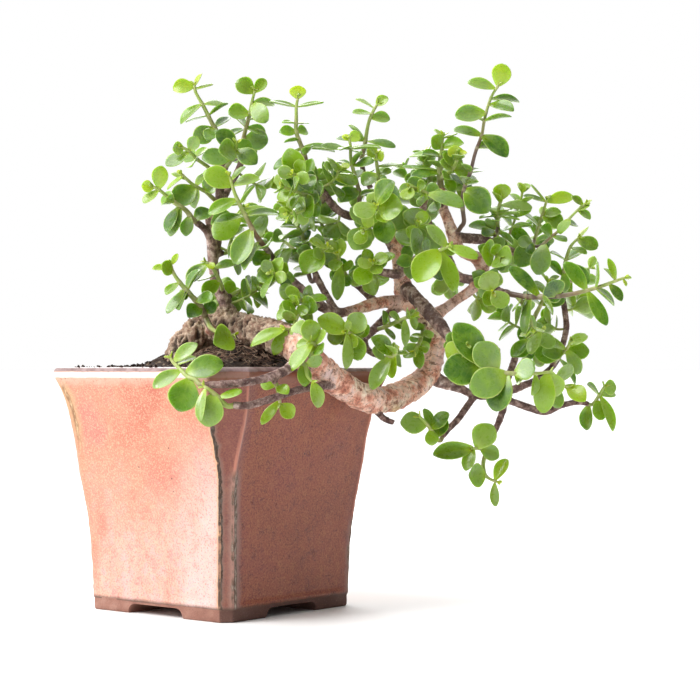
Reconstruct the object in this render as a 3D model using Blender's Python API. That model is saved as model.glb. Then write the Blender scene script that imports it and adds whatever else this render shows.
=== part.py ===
"""Elephant bush bonsai in its pot: a flared square glazed pot, a heap of soil, a gnarled cascading
trunk with its woody limbs, and leafy sprays of small fleshy leaves. Blender 4.5, metres, +Z up.
+X is the way the tree sweeps, and the pot stands turned, with one corner towards -Y."""
import math
import random

import bpy
import bmesh
from mathutils import Matrix, Vector
from mathutils.bvhtree import BVHTree

MM = 0.001
SEAT = 0.3

# The pot, in millimetres and degrees
POT_HEIGHT = 150
POT_TURN = 39.14
POT_LEVELS = (0, 1.5, 8, 32, 58, 80, 100, 116, 131, 143, 148, 150)
INSIDE_LEVELS = (58, 80, 100, 124)
MOUTH_LEVEL = 140
BASE_HALF = 58.5
RIM_FLARE = 25
FLARE_POWER = 2.5
BASE_CHAMFER = 5.8
CHAMFER_FLARE = 11
CHAMFER_FROM = 78
CHAMFER_OVER = 60
CHAMFER_INSET = 0.58
LIP_BASE = 143
LIP_PROUD = 0.6
EDGE_ROUND = 1.8
WALL = 7
FLOOR_HEIGHT = 15
FOOT_HEIGHT = 6
FOOT_GAP = 46
FOOT_ROUND = 5.5
DRAIN_RADIUS = 9

# The soil, heaped round the foot of the trunk
SOIL_EDGE = 146.5
SOIL_HEAP = 17.5
HEAP_CENTRE = (12, -22)
HEAP_REACH = 36
HEAP_RINGS = (0.72, 0.5, 0.3, 0.12)

# The eye of the photograph: the layout below is seen from here, on the plane through the pot's middle
EYE_X = 80.6
EYE_Z = 150
EYE_DISTANCE = 1210.7

# Lengths along a limb or a stem, and the leaves' own proportions
LIMB_STEP = 6
LIMB_SAG = 1.5
STEM_STEP = 5
STEM_SAG = 0.8
STRAIGHT_START = 3
TIP_ROOM = 1.3
TIP_RADIUS = 0.9
COLLAR_RADIUS = 1.8
COLLAR_LENGTHS = (2.6, 3.6, 4.6, 6, 8)
COLLAR_SWELL = 1.3
THICK_LIMB = 9
FORK_SHARE = 0.85
BEND_STEPS = (0, -4, 4, -8, 8, -12, 12, -16, 16)
LEAF_THICK = 1.5
LEAF_RINGS = (0.2, 0.56, 0.88)
LEAF_RINGS_SMALL = (0.36, 0.8)
LEAF_SKEW = 1.3
LEAF_BLUNT = 0.55
LEAF_BREADTH = 0.8
SMALL_LEAF = 14
LEAF_DROOP = 0.1
LEAF_SINK = 0.2
CLEARANCE = 0.35
POT_CLEARANCE = 0.5

# What a leaf that touches another piece tries instead: for one placed by hand its tip's depth, its turn
# and its size, and for one that follows the rule how much wider it opens, its swing and its size
HAND_TRIES = (
    (0, 0, 1), (-3, 0, 1), (3, 0, 1), (-5, 15, 1), (5, 15, 1), (-8, -15, 1), (8, -15, 1),
    (-11, 30, 0.95), (11, 30, 0.95), (0, 50, 0.8), (-14, 0, 0.9), (14, 0, 0.9),
)
RULED_TRIES = (
    (0, 0, 1), (12, 0, 1), (-12, 0, 1), (0, 22, 1), (0, -22, 1), (22, 0, 1),
    (10, 38, 0.95), (10, -38, 0.95), (28, 20, 0.9), (28, -20, 0.9), (0, 0, 0.7),
)

# Woody limbs: points (across, height, depth, radius) as seen on the plane through the pot's middle
LIMBS = {
    "trunk": [(-4, 173, -8, 9), (10, 174.5, -18, 9), (24, 172, -34, 9.5), (36, 168.5, -52, 9.8),
        (45, 164.5, -68, 9.7), (52.5, 157.5, -80, 9.4), (61, 149, -74, 9.1), (71, 141.5, -59, 8.6),
        (82, 134.5, -45, 8.4), (93, 129.8, -32, 8.5), (103, 129.8, -18, 8.4), (113, 133.4, -6, 8.4),
        (122, 138.6, 4, 8), (129, 146, 11, 7.5), (133, 156, 14, 7), (134.6, 167, 15, 6.6),
        (132.5, 175, 14, 6.8), (127, 182, 12, 7), (120, 188.5, 10, 7), (115, 196, 8, 6.4),
        (112.5, 208, 5, 4.9), (111, 218, 2.5, 4.4), (107.5, 228, 0, 4.2)],
    "high_left": [(109.5, 222, 2, 4), (100, 238, -4, 3.5), (90, 244, -10, 3.1), (79, 245, -16, 2.8),
        (71, 250, -20, 2.5), (65, 258, -22, 2.3), (59, 266, -22, 2.1), (55, 275, -20, 2)],
    "mid_up": [(107.5, 227, 0, 3.9), (104, 240, 12, 3.3), (99, 251, 22, 2.8), (94, 261, 26, 2.3)],
    "crown_up": [(111, 216, 4, 4), (117, 230, 22, 3.5), (124, 242, 34, 3), (127, 252, 38, 2.5)],
    "left_fork": [(119, 190.5, 9, 5), (104, 191, -2, 3.9), (96, 189.3, -8, 4.1), (89, 187.5, -14, 3.7),
        (81, 185.3, -22, 3.1), (72, 184, -30, 3.1), (62, 188.6, -36, 3.4), (52, 197, -38, 3),
        (42, 206, -40, 2.6)],
    "dark_fork": [(72, 184.5, -29, 2.7), (67, 193, -18, 2.3), (61, 204, -8, 2.2), (57, 213, -2, 2)],
    "back_fork": [(97, 190, -7, 3), (88, 198.5, 0, 2.1), (79, 206, 8, 1.9), (72, 216, 12, 1.8)],
    "cross": [(117, 191.5, 11, 4), (106, 184, 2, 2.8), (99, 177, -6, 2.7), (94, 172, -12, 2.7),
        (89.5, 167, -22, 2.5), (92, 160.5, -34, 2.1), (99, 156.8, -40, 1.9)],
    "arc": [(123, 218, 22, 3), (117, 212.5, 4, 3.2), (111, 208.5, -8, 3.3), (103, 209, -21, 2.6),
        (96, 211, -28, 2.3)],
    "smooth": [(116, 199, 4, 4.8), (122, 193, -7, 4.5), (129, 185.3, -14, 4.6), (136, 177.6, -19, 4.5),
        (141, 170.5, -26, 3.5), (146, 164, -34, 2.8)],
    "curl": [(129, 179, 13, 5), (139, 186, 19, 3.7), (148, 192.5, 22, 3.2), (156, 198, 22, 3.3),
        (162.5, 204, 20, 3.9), (163.5, 212, 16, 4.5), (159.5, 218.5, 12, 4.1), (152, 221.5, 10, 3.6),
        (147, 227, 10, 4), (145, 233, 10.5, 4), (142, 241.5, 12, 3.4), (138.5, 251, 14, 3.2),
        (137.5, 262, 14, 2.8)],
    "inner": [(160, 204, 22, 3.4), (148, 207, 32, 3.1), (143, 216, 40, 3), (139, 226, 48, 2.7),
        (133, 235, 56, 2.3)],
    "arm": [(146, 231, 11, 3.8), (156, 230.5, 20, 3.5), (165, 229.5, 28, 3.4), (173, 226, 36, 3),
        (181, 223, 44, 2.6), (190, 219, 52, 2.4)],
    "low": [(128, 145, 12, 6), (139, 140.3, 15, 4.2), (149, 136.8, 16, 3.1), (160, 132, 14, 2.4),
        (172, 132.5, 12, 2.5), (183, 136, 10, 2.6), (192, 139.5, 8, 2.4), (200, 142, 6, 2.2)],
    "low_far": [(172, 132, 13, 2.4), (183, 128, 22, 2.5), (193, 124.5, 28, 2.5), (203, 122, 34, 2.4),
        (213, 126, 40, 2.1), (223, 128, 44, 1.9), (230, 127, 46, 1.8)],
    "droop_a": [(159, 132.5, 14.5, 2.3), (153, 124, 8, 2.3), (148, 117, 2, 2.2), (142, 111, -4, 2),
        (138, 106, -8, 1.9)],
    "droop_b": [(178, 130.5, 17, 2.3), (176, 122, 12, 2.3), (173, 114, 8, 2.2), (168, 104, 6, 2.1)],
    "under": [(94, 127, -30, 2.8), (101, 118.5, -30, 2.1), (108, 115, -30, 1.9)],
    "front_a": [(49, 156, -84, 4), (42, 149, -99, 3.1), (35, 145.5, -106, 2.8), (24, 142, -113, 2.4),
        (12, 140, -118, 2.4), (-1, 139, -118, 2.3), (-10, 139, -114, 2)],
    "front_b": [(74, 139, -58, 3), (61, 138, -86, 2.4), (46, 135, -101, 2.3), (31, 130, -112, 2.3),
        (17, 126, -118, 2.3), (7, 126, -119, 2.1)],
    "left_stub": [(4, 178, -6, 6), (3, 189, -10, 4.3), (-3, 202, -12, 3.6), (-5, 214, -12, 3.4),
        (-6, 230, -12, 3.3), (-7, 245, -12, 3.6)],
    "left_high": [(-5, 216, -11, 3.1), (-2, 231, -4, 2.9), (-1, 246, 0, 2.9), (-1, 257, 2, 2.9),
        (0, 268, 2, 2.7), (2, 280, 2, 2.3)],
    "left_b": [(-1, 250, 0, 2.5), (4, 261, 10, 2.3), (10, 272, 16, 2.2), (14, 282, 18, 2)],
    "left_arm": [(-6, 229, -12, 2.6), (-10, 236, -16, 2.3), (-16, 241, -22, 2.1)],
    "right_rise": [(175, 133, 13, 2.4), (181, 147, 30, 2.4), (186, 161, 40, 2.3), (192, 173, 46, 2.2),
        (196, 181, 50, 2)],
    "right_far": [(183, 135.5, 11, 2.4), (197, 142, 34, 2.2), (208, 151, 50, 2.1), (213, 162, 58, 2.1),
        (216, 174, 62, 2.1), (215, 186, 64, 2), (213, 196, 64, 1.9)],
    "out": [(163, 207, 18, 3.6), (173, 198, -4, 2.6), (180, 196, -16, 2.3)],
    "root_left": [(-5, 171, -12, 4), (-8, 177, -27, 2.6)],
}

# Leafy sprays, as seen on the same plane. Each stem: its route (across, height, depth), its pairs of leaves
# placed by rule, their length, the turn of the first pair, and the leaves placed by hand: where each leaves
# the stem (across, height), its tip (across, height), how far the tip stands back, its width and its tilt
SPRAYS = {
    "left_top_a": [
        ([(2, 281, 2), (0, 292, 0), (-6, 303, -2), (-11, 313, -3), (-16, 322, -4), (-17, 327, -4)], 1, 16, 10,
         [(-17, 327, -30, 326, -4, 12, 35), (-16, 326, -13, 335, 2, 5, 60),
          (-16, 323, -5, 328, 3, 6, 60), (-11, 312, -27, 305, -3, 9, 55),
          (-11, 312, 2, 317, 2, 8, 60), (-6, 303, 5, 307, 4, 9, 55), (-5, 300, -16, 292, -8, 13, 15),
          (0, 292, 13, 300, 2, 9, 65), (-2, 296, -8, 294, -6, 10, 40)]),
    ],
    "left_top_b": [
        ([(14, 283, 18), (14, 293, 18), (17, 305, 17), (19, 315, 16), (21, 323, 16)], 1, 15, 20,
         [(20, 321, 10, 330, -3, 13, 25), (21, 322, 28, 331, 2, 8, 10), (19, 313, 34, 315, 3, 10, 55),
          (19, 313, 28, 306, -3, 12, 15), (17, 306, 4, 309, -4, 14, 40), (16, 304, 6, 314, 4, 13, 60),
          (15, 302, 28, 298, -2, 10, 50), (15, 296, 29, 291, -2, 15, 15)]),
    ],
    "left_h": [
        ([(-2, 265, 0), (-8, 275, -6), (-15, 280, -10), (-20, 285, -13), (-25, 288, -15)], 1, 14, 60,
         [(-25, 288, -31, 287, -3, 9, 5), (-22, 286, -16, 294, -4, 9, 15),
          (-20, 284, -35, 276, -4, 11, 40), (-18, 283, -9, 288, 3, 9, 60)]),
    ],
    "left_g": [
        ([(-4, 254, -2), (-10, 260, -12), (-16, 263, -18), (-21, 267, -22), (-25, 271, -24)], 1, 15, 30,
         [(-25, 272, -35, 263, -2, 5, 60), (-21, 266, -31, 273, -2, 7, 40),
          (-16, 263, -30, 252, -8, 15, 10), (-11, 260, -5, 266, -3, 12, 10),
          (-16, 263, -10, 273, 5, 9, 55)]),
    ],
    "left_f": [
        ([(-18, 241, -22), (-22, 248, -26), (-28, 252, -30), (-34, 257, -32), (-39, 261, -34),
         (-43, 263, -35)], 1, 15, 80,
         [(-43, 263, -50, 263, -2, 8, 10), (-38, 261, -38, 275, -4, 11, 15),
          (-38, 260, -49, 252, -4, 9, 50), (-27, 251, -36, 236, -6, 10, 50),
          (-26, 250, -33, 233, -4, 11, 30), (-20, 246, -23, 233, -5, 9, 20),
          (-18, 242, -7, 250, 4, 13, 40)]),
    ],
    "left_in": [
        ([(3, 273, 4), (7, 281, -10), (9, 286, -20), (10, 291, -26)], 2, 17, 0,
         [(7, 281, -11, 282, -8, 15, 40), (9, 286, 0, 285, -14, 15, 10)]),
        ([(5, 278, -5), (9, 280, 18), (14, 283, 38), (18, 287, 52)], 3, 14, 40,
         []),
    ],
    "left_mid": [
        ([(0, 238, -4), (7, 242, -22), (12, 246, -32), (14, 250, -38)], 1, 19, 70,
         [(12, 246, -5, 232, -10, 17, 25), (14, 250, 32, 247, -6, 12, 55)]),
    ],
    "left_knee": [
        ([(-1, 218, -8), (5, 225, -2), (7, 232, 2), (10, 238, 4)], 3, 14, 20,
         []),
    ],
    "left_low_j": [
        ([(0, 194, -16), (0, 202, -22), (-3, 208, -26), (-6, 213, -28), (-10, 216, -29)], 1, 15, 10,
         [(-10, 216, -5, 212, -3, 6, 30), (-8, 214, -21, 203, -6, 11, 35),
          (-5, 212, 9, 216, 2, 9, 55), (-1, 204, -12, 196, -6, 11, 30)]),
    ],
    "left_low_r": [
        ([(5, 194, -6), (12, 198, 0), (18, 198, 4), (22, 196, 7)], 0, 13, 50,
         [(9, 198, 3, 203, -5, 10, 30), (18, 198, 21, 204, -4, 9, 20), (12, 198, 17, 185, -6, 9, 20),
          (20, 197, 23, 188, -2, 7, 40)]),
    ],
    "left_low_i": [
        ([(-8, 178, -29), (-13, 188, -36), (-20, 196, -40), (-26, 203, -43), (-30, 209, -45),
         (-32, 215, -45)], 1, 16, 20,
         [(-32, 215, -27, 221, -2, 4, 20), (-31, 212, -43, 212, -3, 6, 50),
          (-30, 209, -36, 214, -5, 10, 30), (-25, 201, -35, 196, -4, 8, 50),
          (-23, 200, -34, 184, -4, 8, 40), (-18, 194, -25, 193, -6, 10, 30),
          (-17, 193, -6, 194, -8, 11, 50), (-14, 189, -20, 183, -8, 11, 20),
          (-11, 184, -5, 190, -3, 10, 20)]),
        ([(-10, 182, -31), (-6, 174, -46), (2, 170, -55), (8, 170, -58)], 0, 20, 90,
         [(8, 171, -3, 166, -14, 18, 5)]),
    ],
    "long_e": [
        ([(45, 205, -40), (37, 212, -42), (29, 223, -46), (22, 232, -49), (15, 245, -52),
         (10, 255, -54), (7, 263, -55), (5, 270, -55)], 2, 17, 5,
         [(7, 264, -9, 273, -5, 15, 20), (7, 266, 14, 276, -2, 5, 50), (9, 262, 24, 270, 2, 10, 50),
          (10, 256, -8, 247, -5, 10, 35), (14, 248, 36, 249, 3, 10, 60),
          (15, 246, -5, 243, -4, 8, 60), (22, 233, 9, 214, -8, 14, 20),
          (25, 228, 13, 213, -10, 9, 50), (23, 230, 26, 246, 6, 12, 50),
          (31, 220, 21, 216, -8, 12, 30)]),
        ([(41, 209, -41), (36, 208, -52), (31, 209, -60)], 0, 17, 30,
         [(37, 208, 23, 207, -8, 13, 40), (34, 209, 24, 196, -6, 8, 55), (39, 208, 43, 197, -6, 9, 40)]),
    ],
    "e_front": [
        ([(63, 190, -40), (52, 192, -52), (47, 191, -60), (43, 188, -66)], 1, 17, 60,
         [(47, 191, 35, 181, -6, 9, 40), (49, 191, 37, 186, -12, 11, 60),
          (52, 192, 66, 194, -4, 9, 60)]),
        ([(53, 192, -51), (49, 184, -60), (44, 174, -69), (40, 174, -73)], 0, 15, 20,
         [(39, 174, 17, 167, -6, 10, 50), (40, 173, 32, 159, -6, 9, 20),
          (43, 172, 54, 173, -4, 14, 30), (42, 173, 41, 158, -3, 9, 30),
          (43, 182, 39, 191, -2, 8, 20), (45, 181, 53, 188, 0, 8, 20)]),
    ],
    "c_top": [
        ([(54, 276, -20), (51, 286, -20), (47, 297, -19), (47, 306, -18), (47, 313, -18),
         (48, 319, -18)], 0, 17, 0,
         [(48, 318, 48, 326, -3, 11, 5), (47, 312, 31, 318, -2, 6, 70), (47, 312, 65, 317, 2, 5, 75),
          (48, 303, 39, 304, -4, 5, 80), (48, 303, 55, 304, 2, 5, 80), (48, 298, 37, 298, -4, 9, 40),
          (49, 298, 54, 298, 3, 9, 40), (50, 288, 32, 276, -5, 8, 55), (51, 288, 71, 288, 4, 9, 65)]),
    ],
    "c_side": [
        ([(58, 268, -24), (52, 270, -38), (47, 270, -48), (44, 271, -54)], 1, 20, 20,
         [(52, 270, 41, 263, -6, 17, 15), (49, 270, 56, 262, -10, 13, 20)]),
    ],
    "c_low": [
        ([(66, 256, -24), (59, 257, -36), (52, 258, -44), (44, 261, -50), (38, 263, -53)], 4, 16, 35,
         []),
        ([(61, 256, -34), (56, 251, -44), (49, 247, -50), (42, 246, -54)], 2, 14, 15,
         []),
    ],
    "c_back": [
        ([(67, 257, -16), (61, 252, 6), (54, 250, 20), (47, 250, 30), (39, 251, 36)], 4, 15, 40,
         []),
    ],
    "fork_up": [
        ([(57, 214, -2), (53, 226, -4), (49, 236, -6), (44, 243, -8), (41, 251, -9)], 4, 16, 25,
         []),
        ([(54, 222, -3), (58, 222, -22), (62, 222, -34), (67, 225, -42)], 0, 18, 50,
         [(63, 223, 52, 211, -8, 17, 20), (66, 225, 56, 230, -6, 10, 60)]),
    ],
    "fork_left": [
        ([(62, 202, -8), (52, 216, 6), (44, 225, 14), (37, 230, 20), (29, 233, 24)], 4, 16, 10,
         []),
    ],
    "back_tip": [
        ([(71, 217, 12), (67, 227, 10), (64, 236, 9), (61, 245, 8), (58, 252, 8)], 3, 17, 55,
         []),
    ],
    "knee_front": [
        ([(81, 204, 6), (77, 209, -16), (74, 216, -28), (73, 221, -36)], 0, 20, 15,
         [(75, 214, 61, 226, -10, 19, 10), (74, 215, 73, 193, -4, 9, 10),
          (76, 212, 69, 206, -6, 8, 50)]),
    ],
    "d_top": [
        ([(94, 262, 26), (89, 272, 24), (88, 281, 22), (90, 290, 20), (92, 302, 18), (95, 310, 17),
         (98, 315, 16)], 1, 16, 0,
         [(97, 314, 104, 320, -2, 8, 25), (96, 312, 86, 320, 2, 5, 60), (94, 308, 83, 310, -3, 7, 60),
          (93, 306, 106, 306, 2, 9, 30), (90, 293, 72, 296, 4, 11, 60), (91, 292, 109, 291, -2, 9, 55)]),
    ],
    "d_mid": [
        ([(90, 245, -12), (86, 261, -14), (83, 272, -16), (81, 281, -18), (81, 288, -18),
         (80, 293, -18)], 0, 16, 15,
         [(80, 292, 76, 296, 1, 5, 30), (81, 292, 86, 297, -2, 8, 15), (81, 287, 62, 291, -3, 8, 60),
          (81, 286, 99, 291, 2, 5, 70), (82, 277, 94, 281, -8, 10, 60),
          (84, 271, 70, 268, -6, 14, 30), (86, 261, 75, 256, -10, 12, 30)]),
    ],
    "d_small": [
        ([(101, 247, 20), (99, 261, 6), (98, 272, 0), (97, 280, -3), (97, 284, -4)], 1, 15, 30,
         [(97, 283, 92, 287, -3, 9, 15), (97, 281, 102, 283, -4, 8, 30),
          (99, 277, 114, 278, 3, 6, 65), (99, 271, 88, 266, -4, 12, 40),
          (99, 271, 106, 273, -4, 8, 55)]),
    ],
    "d_front": [
        ([(101, 237, -4), (101, 243, -26), (99, 248, -42), (97, 252, -50)], 1, 22, 40,
         [(98, 250, 112, 251, -12, 18, 15), (99, 252, 108, 266, -2, 17, 30),
          (97, 251, 83, 246, -8, 14, 35)]),
    ],
    "d_low": [
        ([(96, 241, -8), (93, 238, -26), (91, 237, -40), (89, 236, -46)], 0, 20, 80,
         [(91, 238, 82, 226, -10, 17, 20), (92, 238, 81, 251, 0, 14, 40)]),
    ],
    "l_top": [
        ([(138, 263, 14), (137, 270, 13), (137, 277, 12), (138, 285, 11), (138, 290, 10),
         (139, 295, 10)], 1, 17, 0,
         [(139, 293, 134, 300, 2, 4, 50), (139, 293, 148, 297, 2, 3, 70),
          (138, 287, 133, 293, -6, 12, 30), (138, 287, 151, 291, -2, 11, 45),
          (138, 282, 118, 285, 3, 7, 60), (138, 281, 127, 284, -8, 8, 60),
          (137, 275, 114, 278, 2, 6, 65), (138, 276, 151, 280, -2, 12, 50),
          (137, 271, 159, 265, -6, 9, 60), (137, 270, 119, 270, -6, 10, 50)]),
        ([(138, 268, 13), (143, 272, 4), (147, 278, -2), (148, 284, -3)], 1, 13, 50,
         [(148, 283, 143, 287, -2, 9, 15), (148, 284, 151, 287, 2, 9, 15)]),
    ],
    "l_left": [
        ([(127, 253, 38), (128, 261, 34), (131, 268, 30), (129, 276, 28), (127, 283, 28)], 4, 17, 30,
         []),
    ],
    "l_side": [
        ([(139, 251, 12), (131, 257, -8), (124, 261, -18), (118, 263, -24)], 1, 17, 70,
         [(124, 261, 111, 261, -6, 10, 50), (129, 258, 152, 253, -8, 13, 45),
          (119, 262, 114, 255, -4, 10, 30)]),
    ],
    "k_top": [
        ([(149, 234, 8), (152, 241, 2), (151, 251, -2), (152, 261, -4), (156, 272, -6),
         (159, 284, -8), (163, 295, -9), (165, 306, -10), (169, 319, -12), (174, 327, -13)], 2, 18, 0,
         [(174, 327, 178, 340, -4, 13, 5), (172, 323, 155, 330, -2, 10, 45),
          (169, 319, 188, 319, 3, 8, 55), (168, 313, 183, 313, -6, 11, 40),
          (166, 308, 147, 307, -5, 13, 30), (163, 295, 146, 300, -3, 10, 50),
          (161, 292, 179, 284, -8, 14, 35), (161, 290, 176, 289, 5, 12, 55),
          (153, 261, 168, 249, -8, 18, 8)]),
    ],
    "crown_a": [
        ([(114, 225, 12), (119, 235, -12), (122, 238, -24), (123, 241, -32)], 1, 22, 30,
         [(121, 237, 123, 249, -6, 19, 10), (123, 236, 113, 228, -10, 17, 30)]),
    ],
    "crown_b": [
        ([(113, 213, 0), (118, 216, -20), (122, 218, -32), (131, 221, -40), (137, 223, -46),
         (143, 226, -50)], 1, 21, 35,
         [(143, 226, 129, 238, -4, 10, 35), (143, 226, 162, 221, -4, 10, 40),
          (136, 223, 121, 206, -12, 18, 15), (136, 222, 148, 198, -8, 12, 30)]),
    ],
    "crown_back": [
        ([(128, 238, 34), (127, 248, 56), (122, 258, 66), (117, 267, 70), (114, 275, 72)], 4, 16, 10,
         []),
    ],
    "inner_tip": [
        ([(133, 236, 56), (129, 246, 64), (131, 256, 70), (134, 266, 74), (139, 276, 76)], 4, 16, 40,
         []),
    ],
    "m_top": [
        ([(174, 227, 34), (173, 236, 28), (173, 243, 24), (174, 251, 22), (176, 256, 21)], 1, 16, 5,
         [(175, 256, 176, 265, -3, 12, 5), (174, 250, 195, 253, 3, 9, 40),
          (173, 246, 162, 246, -4, 5, 75), (173, 245, 187, 244, 4, 5, 75),
          (173, 236, 156, 241, -4, 10, 55), (173, 236, 183, 228, -4, 8, 60)]),
        ([(173, 231, 31), (170, 226, 12), (171, 221, -6), (175, 218, -16)], 0, 18, 25,
         [(170, 221, 164, 222, -8, 18, 5), (172, 219, 180, 216, -12, 17, 10)]),
    ],
    "n_top": [
        ([(190, 221, 52), (192, 230, 48), (196, 238, 44), (200, 248, 40), (204, 255, 38)], 1, 17, 10,
         [(204, 254, 221, 259, 2, 10, 25), (203, 255, 190, 259, -3, 6, 60),
          (204, 255, 194, 265, 3, 3, 60), (201, 248, 214, 240, -5, 13, 30),
          (201, 249, 212, 249, 4, 9, 55), (193, 232, 186, 216, -8, 15, 15),
          (192, 230, 181, 237, -6, 12, 40)]),
        ([(191, 228, 47), (195, 226, 32), (200, 226, 24), (206, 231, 20), (212, 236, 18),
         (218, 243, 16), (224, 249, 15), (228, 252, 14)], 2, 12, 45,
         [(228, 252, 232, 255, 1, 3, 50), (226, 251, 220, 257, -2, 6, 40),
          (225, 250, 231, 251, -2, 7, 55), (221, 247, 232, 243, -2, 7, 45),
          (219, 244, 212, 235, -6, 10, 50), (207, 231, 200, 237, -4, 12, 50),
          (203, 227, 198, 209, -8, 14, 10), (208, 230, 216, 230, -6, 8, 60)]),
    ],
    "o_top": [
        ([(213, 197, 64), (214, 207, 58), (216, 218, 54), (219, 226, 50), (224, 231, 48)], 1, 16, 20,
         [(223, 230, 236, 225, -3, 11, 25), (223, 230, 229, 239, 2, 6, 55),
          (219, 225, 229, 223, -5, 7, 55), (215, 216, 231, 203, -8, 13, 30),
          (214, 209, 205, 216, -6, 9, 50), (215, 212, 216, 198, -4, 8, 30)]),
        ([(214, 203, 60), (221, 204, 80), (227, 208, 90), (231, 213, 94)], 3, 15, 60,
         []),
    ],
    "p_long": [
        ([(181, 195, -18), (191, 194, -24), (203, 194, -30), (216, 195, -34), (229, 198, -38),
         (239, 201, -40), (247, 204, -42), (253, 206, -42)], 2, 18, 30,
         [(253, 206, 257, 206, 0, 4, 60), (251, 205, 254, 201, -2, 4, 60),
          (247, 204, 243, 218, -2, 5, 20), (245, 203, 241, 213, -1, 4, 60),
          (241, 201, 252, 193, -3, 8, 40), (230, 198, 216, 216, -6, 11, 30),
          (230, 198, 241, 176, -4, 10, 30), (212, 194, 206, 203, -6, 16, 0),
          (197, 194, 182, 214, -6, 11, 35), (196, 194, 188, 173, -6, 8, 40)]),
        ([(186, 194, -21), (190, 188, -24), (193, 181, -26), (195, 174, -27)], 1, 15, 0,
         []),
    ],
    "curl_front": [
        ([(164, 208, 14), (167, 203, -8), (169, 199, -20), (170, 197, -26)], 0, 21, 0,
         [(170, 197, 166, 209, -6, 15, 10), (171, 196, 178, 188, -6, 13, 20)]),
    ],
    "smooth_tip": [
        ([(144, 164, -38), (152, 158, -46), (159, 153, -53), (166, 150, -58), (173, 147, -62),
         (181, 146, -64), (189, 146, -64), (198, 146, -62), (206, 147, -60)], 2, 19, 75,
         [(166, 150, 149, 177, -6, 19, 15), (166, 150, 141, 147, -6, 21, 10),
          (173, 147, 161, 165, -4, 18, 10), (178, 146, 157, 137, -8, 20, 10),
          (178, 146, 169, 124, -4, 18, 25), (181, 146, 195, 151, -6, 15, 30),
          (189, 146, 184, 141, 4, 13, 50), (198, 146, 196, 133, -2, 7, 40),
          (205, 147, 201, 122, -4, 14, 10), (206, 147, 213, 132, 4, 12, 20)]),
        ([(148, 162, -41), (151, 163, -52), (154, 164, -60)], 0, 20, 60,
         [(153, 164, 141, 156, -6, 14, 30)]),
    ],
    "rise_tip": [
        ([(197, 182, 50), (200, 189, 48), (203, 197, 44), (205, 204, 42)], 3, 16, 30,
         []),
    ],
    "rise_side": [
        ([(187, 163, 40), (192, 167, 22), (197, 171, 12), (201, 173, 4)], 2, 17, 0,
         [(192, 167, 182, 157, -6, 9, 20), (200, 173, 193, 159, -6, 10, 40)]),
    ],
    "far_tip": [
        ([(210, 153, 50), (212, 157, 34), (216, 161, 24), (219, 166, 18)], 1, 17, 45,
         [(212, 156, 197, 159, -6, 13, 20), (212, 156, 225, 142, -2, 7, 55),
          (216, 161, 225, 146, -3, 10, 20), (218, 164, 228, 173, 2, 11, 40),
          (216, 161, 201, 168, -4, 10, 50)]),
    ],
    "low_tip": [
        ([(200, 142, 6), (206, 142, 0), (212, 139, -6), (218, 137, -10)], 1, 17, 20,
         [(213, 139, 225, 134, -4, 9, 50), (220, 136, 228, 131, -2, 12, 40)]),
    ],
    "low_far_tip": [
        ([(230, 127, 46), (235, 129, 44), (238, 133, 42), (240, 138, 40)], 1, 15, 10,
         [(231, 128, 228, 111, -4, 11, 15), (225, 128, 212, 117, -8, 14, 10),
          (240, 137, 247, 138, -3, 11, 15), (237, 130, 238, 117, -6, 10, 15),
          (238, 132, 248, 112, -2, 9, 25)]),
    ],
    "droop_a_tip": [
        ([(138, 106, -8), (134, 111, -18), (129, 114, -24), (124, 119, -28)], 1, 17, 35,
         [(134, 111, 129, 124, -6, 9, 50), (131, 114, 114, 116, -8, 15, 20),
          (133, 112, 133, 102, -4, 10, 30), (136, 109, 139, 120, -2, 13, 20),
          (138, 106, 153, 114, 0, 9, 40)]),
    ],
    "droop_b_tip": [
        ([(168, 103, 6), (166, 97, 4), (164, 90, 3), (165, 83, 0), (168, 80, -2), (173, 78, -3)], 0, 16, 30,
         [(166, 82, 156, 83, -8, 16, 5), (172, 79, 179, 93, 2, 9, 20), (173, 78, 171, 62, 0, 7, 30)]),
        ([(166, 99, 5), (162, 99, 0), (157, 99, -3)], 0, 16, 30,
         [(159, 99, 168, 114, -4, 17, 15), (158, 99, 133, 95, -6, 13, 20),
          (162, 100, 174, 94, -2, 11, 15), (158, 99, 152, 86, -4, 9, 20)]),
    ],
    "pale_front": [
        ([(61, 159, -84), (58, 163, -92), (56, 166, -97)], 0, 15, 20,
         [(56, 164, 42, 151, -6, 11, 40), (56, 166, 55, 179, -6, 13, 20),
          (57, 164, 59, 154, -4, 12, 30)]),
    ],
    "front_a_tip": [
        ([(-10, 139, -114), (-16, 142, -110), (-21, 144, -106), (-26, 149, -102), (-30, 153, -99),
         (-32, 156, -98)], 0, 13, 30,
         [(-30, 153, -17, 166, -3, 9, 30), (-26, 149, -43, 139, -6, 10, 30),
          (-27, 150, -16, 158, 3, 8, 60), (-23, 146, -1, 155, -6, 15, 25),
          (-20, 143, -27, 123, -6, 19, 10)]),
    ],
    "front_b_tip": [
        ([(7, 127, -119), (2, 129, -119), (-3, 132, -118), (-8, 136, -117), (-11, 138, -116)], 0, 13, 30,
         [(-6, 134, -9, 113, -4, 17, 10), (-10, 137, -15, 117, -2, 8, 30),
          (-3, 132, 12, 136, -2, 8, 50)]),
    ],
    "front_mid": [
        ([(34, 144, -108), (34, 140, -105), (34, 136, -102), (36, 131, -102), (37, 127, -103)], 0, 10, 0,
         [(34, 137, 25, 140, -3, 9, 20), (34, 138, 41, 135, -2, 8, 20), (36, 129, 25, 115, -4, 7, 20),
          (37, 128, 45, 120, -2, 10, 10)]),
    ],
    "trunk_drop": [
        ([(50, 156, -92), (51, 151, -98), (54, 144, -100), (57, 141, -101)], 0, 12, 0,
         [(51, 153, 53, 139, -3, 9, 15), (56, 141, 62, 126, -3, 9, 20)]),
    ],
    "cross_tip": [
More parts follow.
